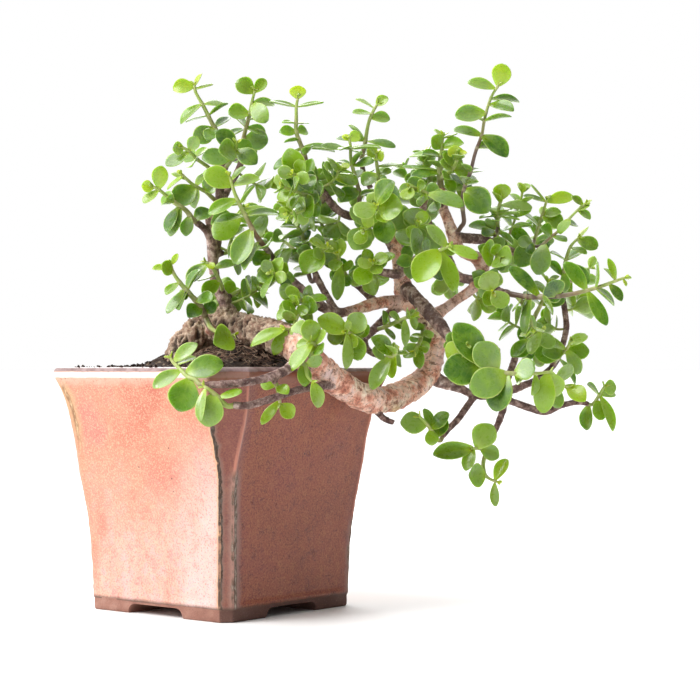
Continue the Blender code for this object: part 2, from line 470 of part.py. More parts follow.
        ([(99, 157, -40), (104, 156, -44), (109, 158, -46), (110, 161, -46)], 0, 13, 0,
         [(107, 158, 94, 168, -8, 12, 35), (108, 156, 94, 138, -6, 11, 20),
          (109, 156, 106, 143, 2, 8, 30)]),
    ],
    "cross_mid": [
        ([(97, 173, -14), (103, 175, -20), (109, 178, -24), (116, 181, -27), (121, 183, -28)], 1, 11, 30,
         [(113, 179, 106, 184, -4, 7, 50), (118, 181, 124, 184, -2, 7, 60),
          (114, 179, 116, 164, -4, 6, 20), (119, 181, 123, 174, 2, 7, 40)]),
    ],
    "cross_front": [
        ([(89, 167, -26), (84, 169, -40), (81, 171, -50), (78, 172, -57)], 0, 14, 0,
         [(80, 171, 61, 181, -6, 14, 20), (80, 171, 66, 169, -4, 13, 5),
          (81, 171, 88, 183, -3, 14, 10), (81, 170, 86, 154, -6, 13, 5),
          (78, 171, 81, 147, 8, 10, 40), (79, 171, 79, 179, -1, 5, 20)]),
    ],
    "arc_tip": [
        ([(96, 211, -30), (96, 213, -36), (95, 216, -40)], 0, 12, 0,
         [(95, 213, 85, 203, -8, 13, 10), (96, 213, 109, 221, -5, 9, 50),
          (97, 212, 94, 218, -4, 9, 30)]),
    ],
    "small_dark": [
        ([(128, 172, 0), (125, 168, -8), (123, 163, -12), (121, 160, -14)], 0, 10, 0,
         [(123, 163, 114, 157, -4, 10, 15), (123, 163, 123, 149, -2, 8, 20),
          (123, 164, 113, 160, 3, 5, 50), (124, 165, 129, 159, 1, 7, 30)]),
    ],
}

# Lumps of the old root base: (across, height, depth, half width, half height, half depth, turn)
ROOT_LUMPS = [
    (-29, 155, -6, 6, 12, 9, 10), (-24, 163, -4, 8, 12, 12, 25), (-15, 170, -4, 10, 12, 14, 20),
    (-3, 173, -2, 12, 11, 15, 0), (12, 171, 0, 13, 10, 13, -5), (4, 163, 12, 25, 15, 14, 0),
    (28, 167, -22, 13, 9, 17, -15), (3, 181, -8, 8, 8, 8, 0), (-14, 158, 8, 14, 14, 16, 0),
]
ROOT_FOOT = (2, 2, 128, 158, 17, 20)

EYE = Vector((EYE_X, -EYE_DISTANCE, EYE_Z)) * MM


def seen(across, height, depth, *more):
    """A place given on the plane through the pot's middle, moved along its line of sight to a depth."""
    nearer = 1 + depth / EYE_DISTANCE
    place = (EYE_X + (across - EYE_X) * nearer, depth, EYE_Z + (height - EYE_Z) * nearer)
    return Vector([value * MM for value in place + more])


def shown(place):
    """Where a place appears on the plane through the pot's middle."""
    nearer = 1 + place.y / (EYE_DISTANCE * MM)
    return Vector(((place.x - EYE.x) / nearer + EYE.x, (place.z - EYE.z) / nearer + EYE.z))


def smooth(points, step):
    """Points about a step apart on the Catmull-Rom curve through the given ones."""
    ends = [points[0] * 2 - points[1]] + points + [points[-1] * 2 - points[-2]]
    run = []
    for a, b, c, d in zip(ends, ends[1:], ends[2:], ends[3:]):
        pieces = max(1, round((c - b).xyz.length / (step * MM)))
        for i in range(pieces):
            t = i / pieces
            bend = (2 * a - 5 * b + 4 * c - d) * t * t + (3 * b - a - 3 * c + d) * t ** 3
            run.append(0.5 * (2 * b + (c - a) * t + bend))
    return run + [points[-1]]


def thinned(run, sag):
    """A run without the points that lie this near to the straight line past them."""
    first, last = run[0], run[-1]
    line = last - first
    chosen, furthest = 0, sag * MM
    for i in range(1, len(run) - 1):
        t = (run[i] - first).xyz.dot(line.xyz) / line.xyz.length_squared
        off = (run[i] - first.lerp(last, min(max(t, 0), 1))).length
        if off > furthest:
            chosen, furthest = i, off
    if not chosen:
        return [first, last]
    return thinned(run[:chosen + 1], sag)[:-1] + thinned(run[chosen:], sag)


def nearest_on(run, gap_to):
    """The point of a run that a measure finds nearest, with the run's direction there and if it is the tip."""
    best = None
    for a, b in zip(run, run[1:]):
        for t in (0, 0.25, 0.5, 0.75, 1):
            point = a.lerp(b, t)
            gap = gap_to(point)
            if best is None or gap < best[0]:
                best = (gap, point, (b - a).xyz.normalized(), b is run[-1] and t == 1)
    return best


def start_of(route, runs, blocked):
    """Where a stem starts on the limbs: its seat, direction and radius, and for a collar the limb's centre."""
    place = route[0].xyz
    found = [nearest_on(run, lambda p: (p.xyz - place).length - p.w) for run in runs]
    _, point, along, at_tip = min(found, key=lambda one: one[0])
    if at_tip:
        return point.xyz, along, point.w, None
    out = (route[1].xyz - point.xyz).normalized()
    side = (out - along * out.dot(along)).normalized()
    out = (side + along * min(max(out.dot(along), -0.8), 0.8)).normalized()
    for length in COLLAR_LENGTHS:
        seat = point.xyz + out * (point.w + length * MM) / out.dot(side)
        first = [(seat + out * part * MM).to_4d() for part in (SEAT, STRAIGHT_START)]
        first[0].w = first[1].w = COLLAR_RADIUS * MM
        if not any(meets(tube_hull(first, 0), other) for other in blocked):
            break
    return seat, out, COLLAR_RADIUS * MM, point.xyz


def tapered(places, radius):
    """A smooth stem through its places, from its foot's radius to its tip's."""
    count = len(places) - 1
    points = [place.to_4d() for place in places]
    for i, point in enumerate(points):
        point.w = radius + (TIP_RADIUS * MM - radius) * i / count
    run = smooth(points, STEM_STEP)
    return run[:1] + thinned(run[1:], STEM_SAG)


def beyond(run, start):
    """The part of a run past a distance from its start."""
    for i, (a, b) in enumerate(zip(run, run[1:])):
        length = (b - a).xyz.length
        if length > start:
            return [a.lerp(b, start / length)] + run[i + 1:]
        start -= length
    return run[-2:]


def bent_clear(name, places, radius, fixed, blocked):
    """The stem, bent along the line of sight past its first places until it touches nothing else."""
    for shift in BEND_STEPS:
        moved = list(places[:fixed])
        for i, place in enumerate(places[fixed:], 1):
            moved.append(place + (place - EYE).normalized() * shift * MM * min(1, i / 2))
        run = tapered(moved, radius)
        body = tube_hull(beyond(run, STRAIGHT_START * MM), CLEARANCE * MM)
        if not any(meets(body, other) for other in blocked):
            return run
    print("no clear way for a stem of", name)
    return tapered(places, radius)


def leaf_mesh(length, width, grow=0.0):
    """A fleshy leaf along +X, face up: a three-sided sphere drawn out into an obovate, keeled blade."""
    rings = LEAF_RINGS if length > SMALL_LEAF * MM else LEAF_RINGS_SMALL
    mesh = bmesh.new()
    bmesh.ops.create_uvsphere(mesh, u_segments=3, v_segments=len(rings) + 1, radius=1)
    places = (0, *rings, 1)
    for vertex in mesh.verts:
        t = places[round(math.acos(max(-1, min(1, -vertex.co.z))) / math.pi * (len(places) - 1))]
        side = 0 if abs(vertex.co.x) < 0.1 else -math.copysign(1, vertex.co.x)
        half = (width / 2 + grow) * max(math.sin(math.pi * t ** LEAF_SKEW), 0) ** LEAF_BLUNT
        inner = 0 < t < 1
        keel = (LEAF_THICK * MM * min(1, 5 * (1.1 - t)) + grow) * inner * (side == 0)
        rise = grow * inner * (side != 0)
        vertex.co = ((length + grow) * t, half * side, rise - keel - LEAF_DROOP * length * t * t)
    return mesh


def leaf_place(base, axis, face):
    """The matrix that stands a leaf at its base, along its axis, with its upper side to its face."""
    face = (face - axis * face.dot(axis)).normalized()
    turn = Matrix((axis, face.cross(axis), face)).transposed().to_4x4()
    return Matrix.Translation(base) @ turn


def hull(mesh):
    """A search tree of a bmesh, with its box. The bmesh is used up."""
    low = [min(v.co[i] for v in mesh.verts) for i in range(3)]
    high = [max(v.co[i] for v in mesh.verts) for i in range(3)]
    tree = BVHTree.FromBMesh(mesh)
    mesh.free()
    return low, high, tree


def grown_run(run, grow):
    """A run with every radius larger."""
    larger = [point.copy() for point in run]
    for point in larger:
        point.w += grow
    return larger


def tube_mesh(run, resolution=0):
    """A limb or a stem: a bevelled curve along a run, made a mesh with its caps welded."""
    curve = bpy.data.curves.new("run", "CURVE")
    curve.dimensions = "3D"
    curve.bevel_depth = MM
    curve.bevel_resolution = resolution
    curve.use_fill_caps = True
    spline = curve.splines.new("POLY")
    spline.points.add(len(run) - 1)
    for point, place in zip(spline.points, run):
        point.co = (*place.xyz, 1)
        point.radius = place.w / MM
    guide = bpy.data.objects.new("run", curve)
    bpy.context.scene.collection.objects.link(guide)
    graph = bpy.context.evaluated_depsgraph_get()
    data = bpy.data.meshes.new_from_object(guide.evaluated_get(graph))
    mesh = bmesh.new()
    mesh.from_mesh(data)
    bmesh.ops.transform(mesh, matrix=guide.matrix_world, verts=mesh.verts)
    bmesh.ops.remove_doubles(mesh, verts=mesh.verts, dist=1e-6)
    bpy.data.objects.remove(guide)
    bpy.data.curves.remove(curve)
    bpy.data.meshes.remove(data)
    return mesh


def limb_sides(run):
    """The roundness of a limb's section: eight sides for a thick one, six for a thin one."""
    return 2 if max(point.w for point in run) > THICK_LIMB * MM else 1


def tube_hull(run, grow, resolution=0):
    """A search tree round a limb or a stem, a little larger than it."""
    return hull(tube_mesh(grown_run(run, grow), resolution))


def leaf_hull(leaf, grow):
    """A search tree of a leaf, a little larger than it."""
    place, length, width = leaf
    mesh = leaf_mesh(length, width, grow)
    bmesh.ops.transform(mesh, matrix=place, verts=mesh.verts)
    return hull(mesh)


def meets(one, other):
    """Whether two search trees touch."""
    apart = any(one[0][i] > other[1][i] or other[0][i] > one[1][i] for i in range(3))
    return not apart and bool(one[2].overlap(other[2]))


def placed_leaves(stem, rows):
    """The leaves placed by hand on a stem: for each, its forms to try, the wanted one first."""
    for base_x, base_z, tip_x, tip_z, back, width, tilt in rows:
        mark = Vector((base_x, base_z)) * MM
        _, root, along, at_tip = nearest_on(stem, lambda p: (shown(p) - mark).length)
        if at_tip:
            root = root - (along * TIP_ROOM * MM).to_4d()
            root.w = stem[-1].w
        tries = []
        for more, turn, size in HAND_TRIES:
            tip = seen(tip_x, tip_z, root.y / MM + back + more)
            axis = (tip - root.xyz).normalized()
            to_eye = (EYE - root.xyz).normalized()
            face = (to_eye - axis * to_eye.dot(axis)).normalized()
            angle = math.radians(tilt + turn)
            turned = [Matrix.Rotation(sign * angle, 3, axis) @ face for sign in (1, -1)]
            face = max(turned, key=lambda one: one.z)
            length = (tip - root.xyz).length * size
            place = leaf_place(root.xyz + axis * root.w * LEAF_SINK, axis, face)
            tries.append((place, length, width * MM * size))
        yield tries


def ruled_leaves(name, stem, pairs, leaf, turn, shared):
    """The crossed pairs of leaves of the rule: for each leaf, its forms to try, the wanted one first."""
    draw = random.Random(name)
    lengths = [(b - a).xyz.length for a, b in zip(stem, stem[1:])]
    gap = (sum(lengths) - TIP_ROOM * MM) / (pairs + 0.3)
    for pair in range(pairs):
        back = (pair + (0.55 if shared else 0)) * gap + TIP_ROOM * MM
        i = len(lengths) - 1
        while back > lengths[i] and i > 0:
            back -= lengths[i]
            i -= 1
        root = stem[i + 1].lerp(stem[i], min(back / lengths[i], 1))
        along = (stem[i + 1] - stem[i]).xyz.normalized()
        level = along.cross(Vector((0, -1, 0))).normalized()
        size = leaf * MM * (0.9 if shared else min(0.55 + 0.25 * pair, 1)) * draw.uniform(0.9, 1.08)
        open_angle = (35 if pair == 0 and not shared else 62) + draw.uniform(-8, 8)
        first = turn + 90 * (pair % 2) + draw.uniform(-12, 12)
        for side in (0, 180):
            tries = []
            for more, swing, shrink in RULED_TRIES:
                out = Matrix.Rotation(math.radians(first + side + swing), 3, along) @ level
                angle = math.radians(open_angle + more)
                axis = along * math.cos(angle) + out * math.sin(angle)
                face = along * math.sin(angle) - out * math.cos(angle)
                place = leaf_place(root.xyz + axis * root.w * LEAF_SINK, axis, face)
                tries.append((place, size * shrink, size * shrink * LEAF_BREADTH))
            yield tries


def collar_run(centre, seat, radius):
    """The collar that carries a stem part way along a limb."""
    run = [centre.to_4d(), seat.to_4d()]
    run[0].w, run[1].w = radius * COLLAR_SWELL, radius
    return run


def grown(limbs, blocked):
    """Every spray: its stems and leaves, clear of all others, and the collar that carries it on the limbs."""
    sprays = {}
    starts = {name: start_of([seen(*point) for point in rows[0][0]], limbs, blocked)
              for name, rows in SPRAYS.items()}
    collars = {name: collar_run(centre, seat, radius)
               for name, (seat, _, radius, centre) in starts.items() if centre}
    blocked = blocked + [tube_hull(run, 0) for run in collars.values()]
    stem_hulls = {}
    for name, rows in SPRAYS.items():
        seat, out, radius, _ = starts[name]
        others = blocked + [one for several in stem_hulls.values() for one in several]
        stems = []
        for route, *_ in rows:
            points = [seen(*point) for point in route]
            if not stems:
                first = seat + out * SEAT * MM
                onward = [p for p in points[1:-1] if (p - first).dot(out) > 2 * STRAIGHT_START * MM]
                places = [first, first + out * STRAIGHT_START * MM] + onward + points[-1:]
                stems.append(bent_clear(name, places, radius, 2, others))
            else:
                free = beyond(stems[0], 2 * STRAIGHT_START * MM)
                _, fork, _, _ = nearest_on(free, lambda p: (p.xyz - points[0]).length)
                stems.append(bent_clear(name, [fork.xyz] + points[1:], fork.w * FORK_SHARE, 1, others))
        stem_hulls[name] = [tube_hull(stem, 0) for stem in stems]
        sprays[name] = {"stems": stems, "leaves": [], "collar": collars.get(name)}
    leaf_hulls = {name: [] for name in SPRAYS}

    def settle(name, tries):
        for leaf in tries:
            roomy, exact = leaf_hull(leaf, CLEARANCE * MM), leaf_hull(leaf, 0)
            taken = any(meets(roomy, one) for one in blocked)
            taken = taken or any(meets(exact, one) for one in leaf_hulls[name])
            for other in SPRAYS:
                if other != name and not taken:
                    taken = any(meets(roomy, one) for one in stem_hulls[other] + leaf_hulls[other])
            if not taken:
                leaf_hulls[name].append(exact)
                sprays[name]["leaves"].append(leaf)
                return
    for name, rows in SPRAYS.items():
        for stem, row in zip(sprays[name]["stems"], rows):
            for tries in placed_leaves(stem, row[4]):
                settle(name, tries)
    for name, rows in SPRAYS.items():
        for i, (stem, row) in enumerate(zip(sprays[name]["stems"], rows)):
            _, pairs, leaf, turn, by_hand = row
            for tries in ruled_leaves(f"{name}{i}", stem, pairs, leaf, turn, bool(by_hand)):
                settle(name, tries)
    return sprays


def pot_half(height):
    """Half the pot's side at a height, with its foot drawn in and its lip standing proud."""
    half = BASE_HALF + RIM_FLARE * (min(max(height, 0), LIP_BASE) / POT_HEIGHT) ** FLARE_POWER
    if height >= LIP_BASE:
        half += LIP_PROUD
    if height in (0, POT_HEIGHT):
        half -= EDGE_ROUND
    return half


def pot_chamfer(height):
    """How far a corner panel cuts each side at a height: narrow below, widening softly to the rim."""
    part = min(max((height - CHAMFER_FROM) / CHAMFER_OVER, 0), 1)
    return BASE_CHAMFER + CHAMFER_FLARE * part * part * (3 - 2 * part)


def pot_section(height, inset=0.0, lift=None):
    """The pot's chamfered square at a height, set in by an inset, its corner points in order."""
    half = pot_half(height) - inset
    chamfer = max(pot_chamfer(height) - inset * CHAMFER_INSET, 1)
    turn = Matrix.Rotation(math.radians(-POT_TURN), 3, "Z")
    corners = []
    for quarter in range(4):
        side = Matrix.Rotation(math.radians(90 * quarter), 3, "Z")
        for x, y in ((half, half - chamfer), (half - chamfer, half)):
            corners.append(turn @ side @ Vector((x, y, height if lift is None else lift)) * MM)
    return corners


def loft(sections):
    """A closed bmesh through sections of like count, bottom to top."""
    mesh = bmesh.new()
    rings = [[mesh.verts.new(place) for place in section] for section in sections]
    for below, above in zip(rings, rings[1:]):
        for i in range(len(below)):
            j = (i + 1) % len(below)
            mesh.faces.new((below[i], below[j], above[j], above[i]))
    mesh.faces.new(reversed(rings[0]))
    mesh.faces.new(rings[-1])
    return mesh


def new_object(name, mesh, collection, material=None):
    """An object of a bmesh, which is used up."""
    data = bpy.data.meshes.new(name)
    mesh.to_mesh(data)
    mesh.free()
    made = bpy.data.objects.new(name, data)
    collection.objects.link(made)
    if material:
        data.materials.append(material)
    return made


def tube(name, run, collection, resolution=0):
    """A limb or a stem as an object."""
    return new_object(name, tube_mesh(run, resolution), collection)


def combine(target, others, operation, solver, helpers):
    """A Boolean of the target with other objects, applied, and the others removed."""
    group = bpy.data.collections.new(target.name + "_others")
    helpers.children.link(group)
    for other in others:
        for owner in list(other.users_collection):
            owner.objects.unlink(other)
        group.objects.link(other)
    modifier = target.modifiers.new("combine", "BOOLEAN")
    modifier.operation = operation
    modifier.operand_type = "COLLECTION"
    modifier.collection = group
    modifier.solver = solver
    graph = bpy.context.evaluated_depsgraph_get()
    data = bpy.data.meshes.new_from_object(target.evaluated_get(graph))
    target.modifiers.remove(modifier)
    old, target.data = target.data, data
    bpy.data.meshes.remove(old)
    for other in others:
        bpy.data.objects.remove(other)
    bpy.data.collections.remove(group)


def finish(name, colour, roughness, coat=0.0):
    """A surface colour with its roughness and clear coat."""
    material = bpy.data.materials.new(name)
    material.use_nodes = True
    shader = material.node_tree.nodes["Principled BSDF"]
    shader.inputs["Base Color"].default_value = (*colour, 1)
    shader.inputs["Roughness"].default_value = roughness
    shader.inputs["Metallic"].default_value = 0
    shader.inputs["Coat Weight"].default_value = coat
    return material


def inside_sections(inset, floor):
    """The sections of the space in the pot, from its floor up to below its mouth."""
    return [pot_section(20, inset, floor)] + [pot_section(height, inset) for height in INSIDE_LEVELS]


def build_pot(parts, helpers):
    """The flared pot on its four feet, hollow, with its drain hole."""
    glaze = finish("pot_glaze", (0.42, 0.17, 0.11), 0.22, 0.5)
    pot = new_object("pot", loft([pot_section(height) for height in POT_LEVELS]), parts, glaze)
    inside = inside_sections(WALL, FLOOR_HEIGHT)
    inside += [pot_section(MOUTH_LEVEL, WALL), pot_section(MOUTH_LEVEL, WALL, POT_HEIGHT + 2)]
    cutters = [new_object("pot_inside", loft(inside), helpers)]
    for quarter in range(2):
        gap = bmesh.new()
        turn = Matrix.Rotation(math.radians(90 * quarter - POT_TURN), 4, "Z")
        size = Matrix.Diagonal((200 * MM, FOOT_GAP * MM, 2 * FOOT_HEIGHT * MM, 1))
        bmesh.ops.create_cube(gap, size=1, matrix=turn @ size)
        long_edges = [e for e in gap.edges if e.calc_length() > 100 * MM]
        bmesh.ops.bevel(gap, geom=long_edges, offset=FOOT_ROUND * MM, segments=2, affect="EDGES",
                        profile=0.5, material=-1)
        cutters.append(new_object(f"foot_gap_{quarter}", gap, helpers))
    hole = bmesh.new()
    bmesh.ops.create_cone(hole, cap_ends=True, segments=16, radius1=DRAIN_RADIUS * MM,
                          radius2=DRAIN_RADIUS * MM, depth=60 * MM)
    cutters.append(new_object("drain_hole", hole, helpers))
    combine(pot, cutters, "DIFFERENCE", "EXACT", helpers)
    return pot


def root_lumps(grow):
    """The lumps of the root base and the foot that stands in the soil, as bmeshes."""
    lumps = []
    for across, height, depth, wide, tall, deep, turn in ROOT_LUMPS:
        lump = bmesh.new()
        size = Matrix.Diagonal(((wide + grow) * MM, (deep + grow) * MM, (tall + grow) * MM, 1))
        place = Matrix.Translation(seen(across, height, depth)) @ Matrix.Rotation(math.radians(turn), 4, "Y")
        bmesh.ops.create_icosphere(lump, subdivisions=2, radius=1, matrix=place @ size)
        lumps.append(lump)
    x, y, low, high, low_radius, high_radius = ROOT_FOOT
    foot = bmesh.new()
    middle = Matrix.Translation(Vector((x, y, (low + high) / 2)) * MM)
    bmesh.ops.create_cone(foot, cap_ends=True, segments=12, radius1=(low_radius + grow) * MM,
                          radius2=(high_radius + grow) * MM, depth=(high - low + 2 * grow) * MM, matrix=middle)
    return lumps + [foot]


def build_soil(limbs, parts, helpers):
    """The heap of soil, a hair clear of the pot's wall and of the trunk that stands in it."""
    sections = inside_sections(WALL + SEAT, FLOOR_HEIGHT + SEAT)
    sections.append(pot_section(MOUTH_LEVEL, WALL + SEAT, SOIL_EDGE))
    middle = Vector((*HEAP_CENTRE, 0)) * MM
    rim = sections[-1]
    for part in HEAP_RINGS:
        ring = []
        for corner in rim:
            place = middle.lerp(corner, part)
            away = (place - middle).xy.length / (HEAP_REACH * MM)
            place.z = (SOIL_EDGE + SOIL_HEAP * math.exp(-away * away)) * MM
            ring.append(place)
        sections.append(ring)
    earth = finish("soil", (0.035, 0.025, 0.02), 0.95)
    soil = new_object("soil", loft(sections), parts, earth)
    cutters = [new_object(f"root_room_{i}", lump, helpers) for i, lump in enumerate(root_lumps(SEAT))]
    for name in ("trunk", "left_stub"):
        run = limbs[name]
        cutters.append(tube(name + "_room", grown_run(run[:4], SEAT * MM), helpers, limb_sides(run)))
    combine(soil, cutters, "DIFFERENCE", "EXACT", helpers)
    return soil


def build_trunk(limbs, sprays, parts, helpers):
    """The root base, the trunk, its limbs and the collars of its sprays, in one body."""
    bark = finish("bark", (0.25, 0.13, 0.09), 0.85)
    pieces = [tube(name, run, helpers, limb_sides(run)) for name, run in limbs.items()]
    pieces += [new_object(f"root_{i}", lump, helpers) for i, lump in enumerate(root_lumps(0))]
    for name, spray in sprays.items():
        if spray["collar"]:
            pieces.append(tube(name + "_collar", spray["collar"], helpers))
    trunk = pieces[0]
    helpers.objects.unlink(trunk)
    parts.objects.link(trunk)
    trunk.name = "trunk"
    combine(trunk, pieces[1:], "UNION", "MANIFOLD", helpers)
    trunk.data.materials.append(bark)
    return trunk


def build_spray(name, spray, leaf_green, parts, helpers):
    """One leafy spray: its stems with every leaf sunk in them, in one body."""
    pieces = [tube(f"{name}_stem_{i}", run, helpers) for i, run in enumerate(spray["stems"])]
    for i, (place, length, width) in enumerate(spray["leaves"]):
        leaf = leaf_mesh(length, width)
        bmesh.ops.transform(leaf, matrix=place, verts=leaf.verts)
        pieces.append(new_object(f"{name}_leaf_{i}", leaf, helpers))
    made = pieces[0]
    helpers.objects.unlink(made)
    parts.objects.link(made)
    made.name = f"spray_{name}"
    if pieces[1:]:
        combine(made, pieces[1:], "UNION", "MANIFOLD", helpers)
    made.data.materials.append(leaf_green)
    return made


def stand_on_origin(parts):
    """Hangs every piece on one empty, set so that the middle of the whole's underside is the origin."""
    places = [vertex.co for piece in parts.objects for vertex in piece.data.vertices]
    low, high = ([pick(place[i] for place in places) for i in range(3)] for pick in (min, max))
    root = bpy.data.objects.new("root", None)
    root.location = (-(low[0] + high[0]) / 2, -(low[1] + high[1]) / 2, -low[2])
    for piece in parts.objects:
        piece.parent = root
    parts.objects.link(root)


def main():
    for old in list(bpy.data.objects):
        bpy.data.objects.remove(old)
    parts = bpy.data.collections.new("elephant_bush_bonsai")
    helpers = bpy.data.collections.new("cutters")
    for collection in (parts, helpers):
        bpy.context.scene.collection.children.link(collection)
    helpers.hide_render = True
    limbs = {name: thinned(smooth([seen(*point) for point in route], LIMB_STEP), LIMB_SAG)
             for name, route in LIMBS.items()}
    build_pot(parts, helpers)
    build_soil(limbs, parts, helpers)
    blocked = [tube_hull(run, 0, limb_sides(run)) for run in limbs.values()]
    blocked += [hull(lump) for lump in root_lumps(0)]
    blocked.append(hull(loft([pot_section(height, -POT_CLEARANCE) for height in POT_LEVELS])))
    sprays = grown(list(limbs.values()), blocked)
    build_trunk(limbs, sprays, parts, helpers)
    leaf_green = finish("leaf", (0.13, 0.33, 0.05), 0.3, 0.2)
    for name, spray in sprays.items():
        build_spray(name, spray, leaf_green, parts, helpers)
    bpy.data.collections.remove(helpers)
    stand_on_origin(parts)
    print(sum(len(spray["leaves"]) for spray in sprays.values()), "leaves on", len(sprays), "sprays")


main()
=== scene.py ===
# %% [markdown]
# # An elephant bush bonsai in its pot
# The real thing is a small leaning tree in a square glazed pot. Its old root base stands in dark soil,
# the trunk dives over the rim and curls up again, and thin limbs carry sprays of fleshy round leaves.
# This lesson dresses a plain solid model of it: each cell takes one piece or one finish.
# First the solid model is loaded, because every finer piece takes its place from it.

# %% The frame
import math
import random

import bmesh
import bpy
from mathutils import Matrix, Vector, noise
from mathutils.bvhtree import BVHTree
from mathutils.kdtree import KDTree


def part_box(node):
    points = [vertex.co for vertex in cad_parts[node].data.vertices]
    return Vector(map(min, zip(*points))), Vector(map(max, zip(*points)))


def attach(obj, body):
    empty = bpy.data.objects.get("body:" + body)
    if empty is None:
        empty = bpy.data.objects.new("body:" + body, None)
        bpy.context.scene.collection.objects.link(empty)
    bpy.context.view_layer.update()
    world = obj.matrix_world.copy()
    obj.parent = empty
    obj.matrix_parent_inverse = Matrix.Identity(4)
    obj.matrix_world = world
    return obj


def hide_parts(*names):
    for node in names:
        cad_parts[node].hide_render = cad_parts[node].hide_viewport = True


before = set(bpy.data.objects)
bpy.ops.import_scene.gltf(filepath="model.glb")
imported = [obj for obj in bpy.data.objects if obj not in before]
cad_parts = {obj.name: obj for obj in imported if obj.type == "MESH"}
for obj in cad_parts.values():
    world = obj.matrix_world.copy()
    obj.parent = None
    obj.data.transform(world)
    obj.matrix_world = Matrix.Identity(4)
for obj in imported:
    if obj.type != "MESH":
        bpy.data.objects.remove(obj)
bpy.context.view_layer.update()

MM = 0.001
pot_low, pot_high = (Vector(corner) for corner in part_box("pot"))
HOME = Vector(((pot_low.x + pot_high.x) / 2, (pot_low.y + pot_high.y) / 2, 0))
scene = bpy.context.scene


def clamp(value, low=0, high=1):
    """A value kept between two limits."""
    return min(max(value, low), high)


print(len(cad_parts), "solids, pot's middle at", [round(c / MM, 2) for c in HOME])

# %% [markdown]
# ## Where things stand
# The tree is laid out as the photograph sees it. A point is given across and up on the plane through the
# pot's middle, then moved along its line of sight to its depth. That keeps the outline right from the
# front while the tree still has a real depth from every other side.

# %% The layout's eye
EYE_X = 80.6
EYE_Z = 150
EYE_DISTANCE = 1210.7
EYE = Vector((EYE_X, -EYE_DISTANCE, EYE_Z)) * MM


def seen(across, height, depth, *more):
    """A place given on the plane through the pot's middle, moved along its line of sight to a depth."""
    nearer = 1 + depth / EYE_DISTANCE
    place = (EYE_X + (across - EYE_X) * nearer, depth, EYE_Z + (height - EYE_Z) * nearer)
    return Vector([value * MM for value in place + more])


def shown(place):
    """Where a place appears on the plane through the pot's middle."""
    nearer = 1 + place.y / (EYE_DISTANCE * MM)
    return Vector(((place.x - EYE.x) / nearer + EYE.x, (place.z - EYE.z) / nearer + EYE.z))


# %% [markdown]
# ## The woody limbs
# Each limb is a run of points with a radius: across, height, depth, radius, in millimetres. The same
# numbers made the solid model, so the finer bark built from them stays where the solids are.

